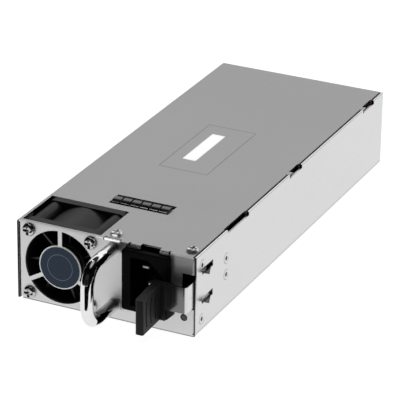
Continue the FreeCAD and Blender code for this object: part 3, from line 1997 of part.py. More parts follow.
def power_transistors():
    """Three switching devices held flat against the bar's bare end."""
    y = board_start + along("sink_front") + along("sink_length") - size.device_pitch * 3
    body = new_body("power_transistors", sink_left() + size.sink_base, y, board_top)
    thick = size.device_leg
    middle_x = size.device_thickness / 2
    for number in range(3):
        start = size.device_pitch * number + size.sheet
        body_low = size.device_height * 0.35
        case = rect(0, start, size.device_thickness, start + size.device_width)
        add(body, "top", body_low, size.device_height, case)
        for leg in range(3):
            middle = start + size.device_width * (leg + 1) / 4
            add(body, "top", 0, body_low, block_section(middle_x, middle, thick))
    return body


def bridge_rectifier():
    """Flat rectifier against the fins' front end."""
    body = new_body("bridge_rectifier", bridge_left(), board_start + along("sink_front"), board_top)
    low = size.bridge_height * 0.2
    add(body, "top", low, size.bridge_height, rect(0, 0, size.bridge_thickness, size.bridge_length))
    for leg in range(4):
        middle = size.bridge_length * (leg + 0.5) / 4
        add(body, "top", 0, low, block_section(size.bridge_thickness / 2, middle, size.bridge_leg))
    return body


def bridge_left():
    return sink_left() + size.sink_base + size.sink_fin_length + size.solder_gap


def block_section(x, y, side):
    """A square round its middle, as for a lead or a chip."""
    return rect(x - side / 2, y - side / 2, x + side / 2, y + side / 2)


def pfc_lane():
    """Left and right limits of the power-factor choke, between its neighbours."""
    left = bridge_left() + size.bridge_thickness + size.pfc_gap
    right = across("bulk_x") - across("bulk_pitch") - bulk_diameter() / 2 - size.pfc_gap
    return left, right


def pfc_depth():
    left, right = pfc_lane()
    return right - left - 2 * size.winding


def new_pfc_body(label):
    left, right = pfc_lane()
    height = board_top + size.pfc_outer / 2 + size.winding + size.solder_gap
    return new_body(label, (left + right) / 2, board_start + along("pfc_middle"), height)


def pfc_choke_core():
    """Ring core of the power-factor choke, standing along the case."""
    body = new_pfc_body("pfc_choke_core")
    bore = size.pfc_inner + 2 * size.winding
    add(body, "side", -pfc_depth() / 2, pfc_depth(), disc(0, 0, size.pfc_outer), disc(0, 0, bore))
    return body


def pfc_choke_winding():
    """Wire wound round the ring core of the power-factor choke."""
    body = new_pfc_body("pfc_choke_winding")
    reach = pfc_depth() / 2
    outer = size.pfc_outer + 2 * size.winding
    bore = size.pfc_inner + 2 * size.winding
    depth = pfc_depth() + 2 * size.winding
    add(body, "side", -reach - size.winding, depth, disc(0, 0, outer), disc(0, 0, size.pfc_inner))
    take(body, "side", -reach, pfc_depth(), disc(0, 0, size.pfc_outer), disc(0, 0, bore))
    return body


def new_core_body(label):
    return new_body(label, across("core_x"), board_start + along("core_front"), board_top)


def transformer_core():
    """Two facing E cores of the main transformer, resting in the coil's bobbin."""
    body = new_core_body("transformer_core")
    wide = across("core_width") / 2
    leg = across("core_width") * CORE_LEG
    length = along("core_length")
    wall = size.coil_wall
    high = size.core_height - 2 * wall
    add(body, "top", wall, high, rect(-wide, 0, wide, length))
    windows = [rect(leg, leg, wide - leg, length - leg), rect(leg - wide, leg, -leg, length - leg)]
    take(body, "top", wall - SPILL, high + 2 * SPILL, *windows)
    return body


def transformer_winding():
    """Coil wound right round the main transformer's middle leg."""
    body = new_core_body("transformer_winding")
    leg = across("core_width") * CORE_LEG
    gap = size.coil_gap
    wall = size.coil_wall
    outside = across("core_width") / 2 - leg - gap
    length = along("core_length") - 2 * (leg + gap)
    top_inside = size.core_height - wall + gap
    add(
        body,
        "front",
        leg + gap,
        length,
        rect(-outside, 0, outside, top_inside + wall),
        rect(-leg - gap, wall, leg + gap, top_inside),
    )
    return body


def standby_transformer():
    """Small taped transformer of the standby supply."""
    x = across("standby_x")
    y = board_start + along("standby_front")
    wide = size.standby_width
    return block("standby_transformer", x, y, wide, size.standby_length, size.standby_height, size.sheet)


def card_left():
    return board_width / 2 - size.card_inset


def control_board():
    """Upright card with the control circuits."""
    body = new_body("control_board", card_left(), board_start + along("card_front"), board_top)
    add(body, "top", 0, size.card_height, rect(0, 0, size.card_thickness, along("card_length")))
    return body


def control_chips():
    """Three controller chips on the upright card."""
    y = board_start + along("card_front")
    body = new_body("control_chips", card_left() - size.chip_thickness, y, board_top)
    pitch = along("card_length") / 3
    for number in range(3):
        chip = block_section(pitch * (number + 0.5), size.card_height / 2, size.chip_side)
        add(body, "side", 0, size.chip_thickness, chip)
    return body


def output_heatsink():
    """Folded copper bar across the case that cools the output rectifiers."""
    body = new_body("output_heatsink", 0, board_start + along("out_sink_front"), board_top)
    half = across("out_sink_width") / 2
    add(body, "top", 0, size.out_sink_height, rect(-half, 0, half, size.sink_base))
    shelf = size.sink_base
    add(body, "top", size.out_sink_height - shelf, shelf, rect(-half, 0, half, size.sink_fin_length + shelf))
    return body


def output_rectifiers():
    """Four output devices in front of the folded bar."""
    y = board_start + along("out_sink_front") - size.device_thickness
    body = new_body("output_rectifiers", 0, y, board_top)
    count = 4
    for number in range(count):
        x = (number - (count - 1) / 2) * size.device_pitch * 1.2
        wide = size.device_width / 2
        body_low = size.device_height * 0.3
        add(body, "top", body_low, size.device_height, rect(x - wide, 0, x + wide, size.device_thickness))
        for leg in (-1, 0, 1):
            centre = x + leg * wide / 2
            add(body, "top", 0, body_low, block_section(centre, size.device_thickness / 2, size.device_leg))
    return body


def output_capacitors():
    """A row of upright output capacitors beside the tongue."""
    body = new_body("output_capacitors", 0, board_end - size.out_cap_inset, board_top)
    pitch = across("out_cap_pitch")
    left = -pitch * (size.out_cap_count - 1) / 2
    can = add(body, "top", 0, size.out_cap_height, disc(left, 0, size.out_cap_diameter))
    row(body, can, "X_Axis", pitch, SIZES["out_cap_count"])
    return body


def fan_plug():
    """The fan's plug in its header on the board."""
    x = across("fan_plug_x")
    y = board_start + size.fan_plug_inset
    long = size.fan_plug_length
    return block("fan_plug", x, y, size.fan_plug_width, long, size.fan_plug_height, size.sheet / 2)


def fan_lead():
    """Sleeved lead from the fan's frame to its plug."""
    body = new_body("fan_lead", across("fan_plug_x"), fan_back, 0)
    run = size.board_gap + size.fan_plug_inset + size.fan_plug_length / 2
    plug_top = board_top + size.fan_plug_height
    path = [(0, fan_z), (run, fan_z, size.fan_lead_bend), (run, plug_top)]
    pipe(body, "side", 0, path, size.fan_lead, "front", 0, (0, fan_z))
    return body


def mains_leads():
    """Three insulated wires from the inlet's tags down to the board."""
    body = new_body("mains_leads", size.inlet_x, front, 0)
    start = size.inlet_body_depth + size.tag_length
    places = sorted(inlet_pin_places(), key=lambda place: as_size(place[1]).number)
    for number, (x, z, lead) in enumerate(places):
        run = board_start - front + size.mains_lead_inset + size.mains_lead_pitch * number
        height = inlet_z + z
        path = [(start, height), (run, height, size.mains_lead_bend), (run, board_top)]
        pipe(body, "side", x, path, size.mains_lead, "front", start, (x, height))
    return body


BUILDERS = [
    base_chassis,
    top_cover,
    front_panel,
    rear_panel,
    fan_gasket,
    fan_frame,
    fan_bearings,
    fan_stator,
    fan_shaft,
    rotor_magnet,
    fan_impeller,
    fan_screws,
    cover_screws,
    lambda: rivets("panel_rivets", wall_rivets()["panel"], size.sheet),
    lambda: rivets("latch_rivets", wall_rivets()["latch"], size.leaf_gap + size.leaf),
    handle,
    handle_screws,
    inlet_housing,
    inlet_pins,
    status_led,
    led_leads,
    latch_spring_base,
    latch_spring_arm,
    latch_tab,
    emi_strip,
    emi_fingers,
    hub_label,
    blank_sticker,
    insulating_sheet,
    board_standoffs,
    board_screws,
    main_board,
    edge_contacts,
    fuse,
    relay,
    x_capacitors,
    y_capacitors,
    common_mode_cores,
    common_mode_windings,
    bulk_capacitors,
    primary_heatsink,
    power_transistors,
    bridge_rectifier,
    pfc_choke_core,
    pfc_choke_winding,
    transformer_core,
    transformer_winding,
    standby_transformer,
    control_board,
    control_chips,
    output_heatsink,
    output_rectifiers,
    output_capacitors,
    fan_plug,
    fan_lead,
    mains_leads,
]


def check_document():
    """Stops the build if any feature failed, cut nothing or left a bad shape."""
    for item in doc.Objects:
        if "Invalid" in item.State or "Error" in item.State:
            raise RuntimeError(f"{item.Name} is {item.State}")
    for cut in cuts:
        if cut.BaseFeature.Shape.Volume - cut.Shape.Volume < 0.001:
            raise RuntimeError(f"{cut.Name} in {cut.getParentGeoFeatureGroup().Label} cuts nothing")
    for body in nodes:
        if body.Shape.isNull() or not body.Shape.isValid():
            raise RuntimeError(f"{body.Label} has no valid shape")


def write_nodes():
    os.makedirs("parts", exist_ok=True)
    for body in nodes:
        body.Shape.exportStep(os.path.join("parts", f"{body.Label}.step"))


def main():
    for build in BUILDERS:
        build()
    doc.recompute()
    check_document()
    write_nodes()
    print(f"{len(nodes)} nodes written")


main()
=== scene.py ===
import math
from types import SimpleNamespace

import bpy
from mathutils import Matrix, Vector


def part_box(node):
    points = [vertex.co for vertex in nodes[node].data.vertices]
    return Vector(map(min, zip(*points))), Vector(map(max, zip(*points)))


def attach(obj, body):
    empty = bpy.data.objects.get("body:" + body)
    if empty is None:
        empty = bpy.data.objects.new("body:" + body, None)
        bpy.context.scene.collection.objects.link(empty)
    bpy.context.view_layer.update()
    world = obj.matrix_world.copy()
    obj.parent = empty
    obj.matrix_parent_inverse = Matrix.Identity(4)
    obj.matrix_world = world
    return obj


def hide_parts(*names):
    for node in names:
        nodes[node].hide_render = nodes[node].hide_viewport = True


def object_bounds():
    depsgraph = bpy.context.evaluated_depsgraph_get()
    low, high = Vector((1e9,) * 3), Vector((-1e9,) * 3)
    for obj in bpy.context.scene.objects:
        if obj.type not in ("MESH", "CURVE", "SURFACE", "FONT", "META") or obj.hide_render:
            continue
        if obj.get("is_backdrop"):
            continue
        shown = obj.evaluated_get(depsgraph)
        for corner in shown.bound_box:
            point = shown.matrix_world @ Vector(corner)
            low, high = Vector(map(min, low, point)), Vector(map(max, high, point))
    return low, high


# A one-unit-high hot swap server power supply, with its looks, studio and camera.
# Lengths are in metres, in the frame of the part.

MM = 0.001
HANDLE_ROD = 6 * MM
HANDLE_BEND = 10 * MM
WALL_INSIDE = 45 * MM
WALL_OUTSIDE = 46 * MM
PANEL_TOP = 39 * MM
PAINTED_HIGHLIGHT = 0.98
SHADED = 0.02
CREVICE_SHADE = 0.03
WHITE = (1, 1, 1, 1)
IMAGE_SENSOR = 36.0
CAMERA_LENS = 234.39
CAMERA_PLACE = Vector((0.495696, -1.058548, 0.544310))
CAMERA_RIGHT = Vector((0.901370, 0.432874, 0.012348))
CAMERA_DOWN = Vector((0.188966, -0.367505, -0.910622))
CAMERA_AHEAD = Vector((-0.389646, 0.823140, -0.413056))

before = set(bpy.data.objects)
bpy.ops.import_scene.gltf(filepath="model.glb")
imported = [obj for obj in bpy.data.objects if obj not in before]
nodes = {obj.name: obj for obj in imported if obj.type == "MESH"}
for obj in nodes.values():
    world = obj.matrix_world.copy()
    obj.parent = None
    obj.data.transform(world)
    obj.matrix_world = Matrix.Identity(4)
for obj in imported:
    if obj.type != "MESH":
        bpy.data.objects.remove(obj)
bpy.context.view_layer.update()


class Surface:
    """A material under construction, with its nodes and its main shader."""

    def __init__(self, name, metallic=0.0, **constants):
        self.material = bpy.data.materials.new(name)
        self.material.use_nodes = True
        self.tree = self.material.node_tree
        self.shader = self.tree.nodes["Principled BSDF"]
        self.shader.inputs["Metallic"].default_value = metallic
        for socket, value in constants.items():
            self.shader.inputs[socket.replace("_", " ")].default_value = value
        self.place = self.tree.nodes.new("ShaderNodeTexCoord").outputs["Object"]

    def node(self, kind, **inputs):
        made = self.tree.nodes.new(f"ShaderNode{kind}")
        for name, value in inputs.items():
            self.feed(value, made.inputs[name.replace("_", " ")])
        return made

    def feed(self, value, socket):
        if isinstance(value, bpy.types.NodeSocket):
            self.tree.links.new(value, socket)
        else:
            socket.default_value = value

    def stretched(self, scale):
        return self.node("Mapping", Vector=self.place, Scale=scale).outputs["Vector"]

    def noise(self, size_mm, detail=3.0, stretch=(1.0, 1.0, 1.0)):
        """Noise whose blotches are about the given size, longer where stretch is small."""
        place = self.stretched(stretch)
        made = self.node("TexNoise", Vector=place, Scale=1.0 / (size_mm * MM), Detail=detail)
        return made.outputs["Fac"]

    def math(self, operation, first, second=0.0):
        made = self.tree.nodes.new("ShaderNodeMath")
        made.operation = operation
        self.feed(first, made.inputs[0])
        self.feed(second, made.inputs[1])
        return made.outputs[0]

    def both(self, first, second):
        """The part that two masks share."""
        return self.math("MULTIPLY", first, second)

    def past(self, value, edge, fade=0.1 * MM):
        """A mask that rises from nought at the edge to one where it has faded in."""
        return self.spread(value, 0.0, 1.0, edge, edge + fade)

    def short_of(self, value, edge, fade=0.1 * MM):
        """A mask that falls from one at the edge to nought where it has faded out."""
        return self.spread(value, 1.0, 0.0, edge, edge + fade)

    def spread(self, factor, low, high, start=0.3, end=0.7):
        """The factor's range from start to end, carried over to low to high."""
        made = self.node("MapRange", Value=factor)
        for name, value in zip(("From Min", "From Max", "To Min", "To Max"), (start, end, low, high)):
            made.inputs[name].default_value = value
        return made.outputs["Result"]

    def colors(self, factor, *stops):
        """A ramp through (position, grey or colour) stops."""
        made = self.node("ValToRGB", Fac=factor)
        ramp = made.color_ramp
        while len(ramp.elements) < len(stops):
            ramp.elements.new(0.5)
        for element, (position, color) in zip(ramp.elements, stops):
            element.position = position
            element.color = rgba(color)
        return made.outputs["Color"]

    def mix(self, factor, first, second):
        made = self.tree.nodes.new("ShaderNodeMix")
        made.data_type = "RGBA"
        self.feed(factor, made.inputs["Factor"])
        self.feed(first if isinstance(first, bpy.types.NodeSocket) else rgba(first), made.inputs["A"])
        self.feed(second if isinstance(second, bpy.types.NodeSocket) else rgba(second), made.inputs["B"])
        return made.outputs["Result"]

    def parts(self, vector):
        """The vector's three parts, by letter."""
        split = self.node("SeparateXYZ", Vector=vector)
        return SimpleNamespace(**{letter.lower(): split.outputs[letter] for letter in "XYZ"})

    def normal(self):
        return self.parts(self.tree.nodes.new("ShaderNodeNewGeometry").outputs["Normal"])

    def painted(self, mask, color):
        """Changes the colour where the mask is one."""
        base = self.shader.inputs["Base Color"].links[0].from_socket
        self.color(self.mix(mask, base, color))

    def color(self, value):
        self.feed(value, self.shader.inputs["Base Color"])

    def roughness(self, value):
        self.feed(value, self.shader.inputs["Roughness"])

    def bump(self, height, depth_mm, strength=1.0):
        made = self.node("Bump", Height=height, Strength=strength, Distance=depth_mm * MM)
        self.feed(made.outputs["Normal"], self.shader.inputs["Normal"])


def rgba(color):
    if isinstance(color, (int, float)):
        return (color, color, color, 1.0)
    return (*color, 1.0)


def tinted(color, factor):
    if isinstance(color, (int, float)):
        return color * factor
    return tuple(part * factor for part in color)


def grainy(
    name,
    color,
    rough,
    metallic=0.0,
    grain_mm=0.4,
    depth_mm=0.01,
    contrast=0.12,
    stretch=(1, 1, 1),
    **constants,
):
    """A surface with fine grain, broad blotches and a roughness that follows them."""
    made = Surface(name, metallic, **constants)
    fine = made.noise(grain_mm, 4.0, stretch)
    broad = made.noise(grain_mm * 30, 2.0)
    both = made.math("ADD", made.math("MULTIPLY", fine, 0.6), made.math("MULTIPLY", broad, 0.4))
    made.color(made.colors(both, (0.3, tinted(color, 1 - contrast)), (0.7, tinted(color, 1 + contrast))))
    made.roughness(made.spread(both, rough - 0.06, rough + 0.06))
    made.bump(fine, depth_mm)
    return made


def wear_edges(made, radius_mm, color, amount):
    """Lightens the corners and edges where handling has polished them."""
    bevel = made.node("Bevel", Radius=radius_mm * MM)
    face = made.tree.nodes.new("ShaderNodeNewGeometry").outputs["Normal"]
    dot = made.node("VectorMath")
    dot.operation = "DOT_PRODUCT"
    made.feed(bevel.outputs["Normal"], dot.inputs[0])
    made.feed(face, dot.inputs[1])
    edge = made.spread(dot.outputs["Value"], amount, 0.0, 0.6, 1.0)
    made.painted(edge, color)


# Metals


def sheet_steel(name, color, rough):
    """Plated sheet steel with fine spangle and faint rolling marks."""
    made = Surface(name, 1.0)
    grain_mm = 0.35
    grain = made.noise(grain_mm, 5.0)
    rolling = made.noise(grain_mm * 6, 3.0, (1.0, 0.06, 1.0))
    clouds = made.noise(45, 2.0)
    both = made.math("ADD", made.math("MULTIPLY", grain, 0.5), made.math("MULTIPLY", rolling, 0.2))
    both = made.math("ADD", both, made.math("MULTIPLY", clouds, 0.3))
    made.color(made.colors(both, (0.3, tinted(color, 0.94)), (0.7, tinted(color, 1.05))))
    made.roughness(made.spread(both, rough - 0.05, rough + 0.05))
    made.bump(grain, 0.004)
    wear_edges(made, 0.25, min(color * 1.3, 0.95), 0.5)
    return made


def cover_steel():
    """The cover's sheet, with a painted highlight on its rolled front lips and painted shade in the seam and
    on the left's cut edge.
    """
    made = sheet_steel("cover_steel", 0.6, 0.48)
    normal = made.normal()
    across = made.parts(made.place).x
    ahead = made.short_of(normal.y, -0.8, 0.5)
    # Painted highlight: the front-facing lips right of x = 9 mm are painted near white.
    made.painted(made.both(ahead, made.past(across, 9.0 * MM, 0.5 * MM)), PAINTED_HIGHLIGHT)
    left_edge = made.both(ahead, made.short_of(across, -WALL_INSIDE - 0.1 * MM))
    seam = made.past(normal.x, 0.2, 0.3)
    # Painted shade: the left wall's front cut edge and the right fold in the seam are painted nearly black.
    made.painted(made.math("MAXIMUM", left_edge, seam), SHADED)
    return made.material


def wall_steel():
    """The tray's sheet, with painted shade on its front cut edges and along their foot, in the crevice at
    the right front corner and in the seam by the top edge, a painted highlight on the top edge, and a
    painted shade line along the right wall near its foot.
    """
    made = sheet_steel("wall_steel", 0.61, 0.30)
    normal = made.normal()
    place = made.parts(made.place)
    seam_end = WALL_INSIDE + 0.15 * MM
    shaded_front_faces = made.short_of(normal.y, -0.95, 0.1)
    # Painted shade on the front-facing cut edges at the left.
    made.painted(made.both(shaded_front_faces, made.short_of(place.x, -44.0 * MM)), SHADED)
    # Painted shade in the crevice between the front panel's bend and the right wall's front edge.
    corner = made.both(
        made.past(place.x, WALL_INSIDE - 0.1 * MM),
        made.short_of(place.x, WALL_INSIDE + 0.45 * MM, 0.15 * MM),
    )
    made.painted(made.both(shaded_front_faces, corner), CREVICE_SHADE)
    # Painted shade along the foot of the front-facing edges.
    low = made.spread(place.z, 0.7, 0.0, 0.4 * MM, 0.6 * MM)
    made.painted(made.both(shaded_front_faces, low), 0.05)
    # Painted shade line along the right wall, 2.1 mm up, where the base's bend starts.
    away = made.math("ABSOLUTE", made.math("SUBTRACT", place.z, 2.1 * MM))
    line = made.spread(away, 0.6, 0.0, 0.08 * MM, 0.16 * MM)
    made.painted(made.both(line, made.past(normal.x, 0.8, 0.15)), 0.08)
    # Painted highlight along the right wall's top edge, then painted shade in the seam at its inner side.
    rim = made.both(made.past(normal.z, 0.9, 0.07), made.past(place.z, PANEL_TOP, 0.2 * MM))
    made.painted(rim, 0.95)
    made.painted(made.both(rim, made.short_of(place.x, seam_end)), CREVICE_SHADE)
    return made.material


def panel_steel():
    """The front panel's sheet, with a painted highlight on the tongue that stands in the cover's slit."""
    made = polished_steel("panel_steel", 0.68, 0.46)
    place = made.parts(made.place)
    raised = made.past(place.z, PANEL_TOP, 0.2 * MM)
    right = made.past(place.x, -1.5 * MM, 0.2 * MM)
    # Painted highlight on the tongue above the panel's top.
    made.painted(made.both(raised, right), PAINTED_HIGHLIGHT)
    return made.material


def polished_steel(name, color, rough):
    """Polished plate: hairline marks and a few dull patches."""
    made = Surface(name, 1.0)
    hairlines = made.noise(0.15, 2.0, (1.0, 1.0, 0.05))
    patches = made.noise(12, 3.0)
    made.color(made.colors(patches, (0.3, tinted(color, 0.96)), (0.7, tinted(color, 1.03))))
    made.roughness(made.spread(made.math("MULTIPLY", hairlines, patches), rough, rough + 0.06, 0.1, 0.4))
    made.bump(hairlines, 0.001)
    return made


def pressed_spring(name, color, rough):
    return grainy(name, color, rough, 1.0, 0.2, 0.0003, 0.05, (1, 1, 0.15))


def toothed_spring():
    """The latch's leaf, darker than the spring's base, with a painted highlight on its side at the bend and
    a painted dark reflection on the teeth.
    """
    made = pressed_spring("toothed_spring_steel", 0.16, 0.14)
    across = made.parts(made.place).x
    # Painted highlight on the leaf's outer side at its bend.
    made.painted(made.past(across, 43.8 * MM, 0.5 * MM), 0.6)
    # Painted dark reflection on the teeth past the wall.
    made.painted(made.past(across, WALL_OUTSIDE, 0.2 * MM), 0.12)
    return made.material


# Plastics and rubber


def moulded(name, color, rough, grain_mm=0.3, worn=None, shine=0.5):
    """Moulded plastic with spark-eroded texture and rubbed edges."""
    made = grainy(name, color, rough, 0.0, grain_mm, 0.012, 0.15, Specular_IOR_Level=shine)
    if worn is not None:
        wear_edges(made, 0.35, worn, 0.6)
    return made.material


def label_film():
    """Round slate-blue film with a thin silver ring near its edge."""
    made = Surface("label_film", 0.0, Specular_IOR_Level=0.15)
    low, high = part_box("hub_label")
    middle = (low + high) / 2
    radius = (high.x - low.x) / 2
    away = made.node("VectorMath", Vector=made.place)
    away.operation = "DISTANCE"
    away.inputs[1].default_value = middle
    share = made.math("DIVIDE", away.outputs["Value"], radius)
    speckle = made.noise(0.25, 3.0)
    blue = made.colors(speckle, (0.3, (0.016, 0.032, 0.056)), (0.7, (0.022, 0.041, 0.068)))
    ring = made.colors(share, (0.0, 0.0), (0.985, 0.0), (0.99, 1.0), (1.0, 1.0))
    inner = made.colors(share, (0.0, 0.0), (0.60, 0.0), (0.61, 0.35), (0.625, 0.35), (0.635, 0.0))
    made.color(made.mix(ring, made.mix(inner, blue, 0.45), 0.62))
    made.roughness(made.spread(speckle, 0.34, 0.46))
    made.bump(speckle, 0.003)
    return made.material


def sticker_paper():
    """Bright white coated paper, with faint fibres, and a slight glow that is painted light."""
    # The glow is painted light that lifts the paper to full white.
    glow = {"Emission_Color": WHITE, "Emission_Strength": 0.42}
    return grainy("sticker_paper", 0.88, 0.55, 0.0, 0.3, 0.002, 0.02, **glow).material


def board_laminate():
    """Green solder mask over tracks, with a weave under it."""
    made = Surface("board_laminate", 0.0)
    tracks = made.node("TexBrick", Vector=made.place, Scale=220.0)
    weave = made.noise(0.5, 2.0)
    mask = made.colors(weave, (0.3, (0.012, 0.075, 0.03)), (0.7, (0.018, 0.1, 0.04)))
    made.color(made.mix(tracks.outputs["Fac"], mask, (0.03, 0.16, 0.06)))
    made.roughness(made.spread(weave, 0.3, 0.42))
    made.bump(tracks.outputs["Fac"], 0.03)
    return made.material


def wound(name, color, turn_mm, axis):
    """Enamelled wire laid turn beside turn around a core."""
    made = Surface(name, 0.8)
    turns = made.node("TexWave", Vector=made.place, Scale=0.5 / (turn_mm * MM))
    turns.bands_direction = axis
    made.color(made.colors(turns.outputs["Fac"], (0.1, tinted(color, 0.35)), (0.8, color)))
    made.roughness(made.spread(turns.outputs["Fac"], 0.5, 0.28, 0.0, 1.0))
    made.bump(turns.outputs["Fac"], turn_mm * 0.5)
    return made.material


def sleeved_can():
    """Black shrink sleeve with a pale stripe along each can."""
    made = grainy("can_sleeve", (0.016, 0.017, 0.024), 0.3, 0.0, 0.6, 0.006)
    stripe = made.node("TexWave", Vector=made.place, Scale=11.0)
    stripe.bands_direction = "X"
    base = made.shader.inputs["Base Color"].links[0].from_socket
    made.color(made.mix(made.colors(stripe.outputs["Fac"], (0.93, 0.0), (0.95, 1.0)), base, 0.42))
    return made.material


def finned():
    """Extruded aluminium with fine die lines."""
    return grainy("heatsink_aluminium", 0.6, 0.36, 1.0, 0.25, 0.01, 0.1, (1, 0.04, 1)).material


def dress_nodes():
    """Gives each CAD node its detailed material."""
    wall = wall_steel()
    screw = polished_steel("screw_steel", 0.5, 0.12).material
    black = moulded("fan_plastic", 0.007, 0.42, shine=0.35)
    copper = wound("copper_wire", (0.62, 0.24, 0.09), 1.1, "X")
    core = moulded("ferrite", (0.045, 0.045, 0.05), 0.55, 0.8)
    wire = moulded("wire_black", 0.016, 0.45, 0.5)
    chip = moulded("chip_epoxy", 0.022, 0.5, 0.2)
    tape = grainy("tape_yellow", (0.72, 0.52, 0.05), 0.35, 0.0, 1.5, 0.01).material
    can = sleeved_can()
    board = board_laminate()
    finger = pressed_spring("finger_metal", 0.11, 0.1).material
    worn = {
        "base_chassis": wall,
        "top_cover": cover_steel(),
        "front_panel": panel_steel(),
        "rear_panel": wall,
        "fan_gasket": moulded("gasket_foam", 0.014, 0.85, 1.2),
        "fan_frame": black,
        "fan_bearings": grainy("bearing_bronze", (0.5, 0.33, 0.15), 0.4, 1.0, 0.3).material,
        "fan_stator": copper,
        "fan_shaft": screw,
        "rotor_magnet": core,
        "fan_impeller": moulded("blade_plastic", 0.010, 0.38),
        "fan_screws": screw,
        "cover_screws": polished_steel("cover_screw_steel", 0.95, 0.34).material,
        "panel_rivets": wall,
        "latch_rivets": wall,
        "handle": screw,
        "handle_screws": screw,
        "inlet_housing": moulded("inlet_plastic", 0.002, 0.5, 0.35, None, 0.05),
        "inlet_pins": grainy("pin_metal", (0.5, 0.5, 0.48), 0.3, 1.0, 0.4).material,
        "status_led": moulded("light_lens", (0.02, 0.035, 0.02), 0.16, 0.8),
        "led_leads": wire,
        "latch_spring_base": pressed_spring("spring_steel", 0.45, 0.14).material,
        "latch_spring_arm": toothed_spring(),
        "latch_tab": moulded("tab_plastic", 0.007, 0.46, 0.3, 0.04, 0.2),
        "emi_strip": finger,
        "emi_fingers": finger,
        "hub_label": label_film(),
        "blank_sticker": sticker_paper(),
        "insulating_sheet": grainy("insulation_film", (0.7, 0.66, 0.5), 0.3, 0.0, 2.0).material,
        "board_standoffs": grainy("standoff_brass", (0.66, 0.5, 0.22), 0.3, 1.0, 0.2).material,
        "board_screws": screw,
        "main_board": board,
        "edge_contacts": grainy("contact_gold", (0.85, 0.6, 0.22), 0.2, 1.0, 0.3).material,
        "fuse": grainy("ceramic", (0.82, 0.79, 0.7), 0.3, 0.0, 0.6).material,
        "relay": moulded("relay_case", (0.012, 0.035, 0.12), 0.35, 0.4),
        "x_capacitors": moulded("capacitor_box", (0.6, 0.42, 0.03), 0.3, 0.4),
        "y_capacitors": grainy("disc_ceramic", (0.03, 0.14, 0.4), 0.35, 0.0, 1.2).material,
        "common_mode_cores": core,
        "common_mode_windings": copper,
        "bulk_capacitors": can,
        "primary_heatsink": finned(),
        "power_transistors": chip,
        "bridge_rectifier": chip,
        "pfc_choke_core": core,
        "pfc_choke_winding": wound("choke_wire", (0.62, 0.24, 0.09), 1.4, "Y"),
        "transformer_core": core,
        "transformer_winding": tape,
        "standby_transformer": tape,
        "control_board": board,
        "control_chips": chip,
        "output_heatsink": grainy("copper_bar", (0.7, 0.32, 0.16), 0.3, 1.0, stretch=(0.05, 1, 1)).material,
        "output_rectifiers": chip,
        "output_capacitors": can,
        "fan_plug": moulded("plug_nylon", (0.8, 0.78, 0.7), 0.45, 0.5),
        "fan_lead": wire,
        "mains_leads": wire,
    }
    for name, material in worn.items():
        for slot in nodes[name].material_slots:
            slot.material = material


# Printed area on the cover


def add_stroke(vertices, faces, low, high, z):
    """Adds one flat printed stroke between two corners."""
    start = len(vertices)
    vertices.extend([(low[0], low[1], z), (high[0], low[1], z), (high[0], high[1], z), (low[0], high[1], z)])
    faces.append((start, start + 1, start + 2, start + 3))


def printed_area():
    """A plain ruled frame round the bare sticker, in pale ink."""
    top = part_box("top_cover")[1].z
    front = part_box("front_panel")[0].y
    ink = 0.3 * MM
    left, right = -15.5 * MM, 10.4 * MM
    near, far = front + 85 * MM, front + 142 * MM
    lift = top + 0.02 * MM
    vertices, faces = [], []
    add_stroke(vertices, faces, (left, near), (right, near + ink), lift)
    add_stroke(vertices, faces, (left, far - ink), (right, far), lift)
    add_stroke(vertices, faces, (left, near + ink), (left + ink, far - ink), lift)
    add_stroke(vertices, faces, (right - ink, near + ink), (right, far - ink), lift)
    mesh = bpy.data.meshes.new("printed_area")
    mesh.from_pydata(vertices, [], faces)
    piece = bpy.data.objects.new("printed_area", mesh)
    bpy.context.scene.collection.objects.link(piece)
    thick = piece.modifiers.new("ink", "SOLIDIFY")
    thick.thickness = 0.02 * MM
    thick.offset = -1
    mesh.materials.append(grainy("printed_ink", 0.2, 0.5, 0.0, 0.5, 0.001, 0.1).material)
    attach(piece, "case")


# Handle


def handle_path():
    """The rod's place across, and its middle line as points with the turn at each."""
    low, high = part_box("handle")
    across = (low.x + high.x) / 2
    bottom = low.z + HANDLE_ROD / 2
    top = high.z - HANDLE_ROD / 2
    reach = low.y + HANDLE_ROD / 2
    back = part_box("front_panel")[0].y
    steps = 28
    bends = []
    for middle, start in ((bottom + HANDLE_BEND, -90), (top - HANDLE_BEND, -180)):
        for step in range(steps + 1):
            turn = math.radians(start - 90 * step / steps)
            y = reach + HANDLE_BEND + HANDLE_BEND * math.cos(turn)
            bends.append((y, middle + HANDLE_BEND * math.sin(turn), turn))
    return across, [(back, bottom, bends[0][2]), *bends, (back, top, bends[-1][2])]


def smooth_handle():
    """The same bent rod as the CAD handle, finely divided so that its streaks run smoothly."""
    across, points = handle_path()
    around = 64
    vertices, faces = [], []
    for y, z, turn in points:
        for step in range(around):
            angle = 2 * math.pi * step / around
            out = HANDLE_ROD / 2 * math.cos(angle)
            vertices.append((
                across + HANDLE_ROD / 2 * math.sin(angle),
                y + out * math.cos(turn),
                z + out * math.sin(turn),
            ))
    for ring in range(len(points) - 1):
        for step in range(around):
            ahead = (step + 1) % around
            first = ring * around
            faces.append((first + step, first + ahead, first + around + ahead, first + around + step))
    faces.append(tuple(range(around))[::-1])
    faces.append(tuple(range(len(vertices) - around, len(vertices))))
    mesh = bpy.data.meshes.new("bent_rod")
    mesh.from_pydata(vertices, [], faces)
    mesh.polygons.foreach_set("use_smooth", [len(face) == 4 for face in faces])
    mesh.materials.append(polished_steel("handle_chrome", 0.73, 0.03).material)
    piece = bpy.data.objects.new("bent_rod", mesh)
    bpy.context.scene.collection.objects.link(piece)
    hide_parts("handle")
    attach(piece, "case")


# Stage, light and camera


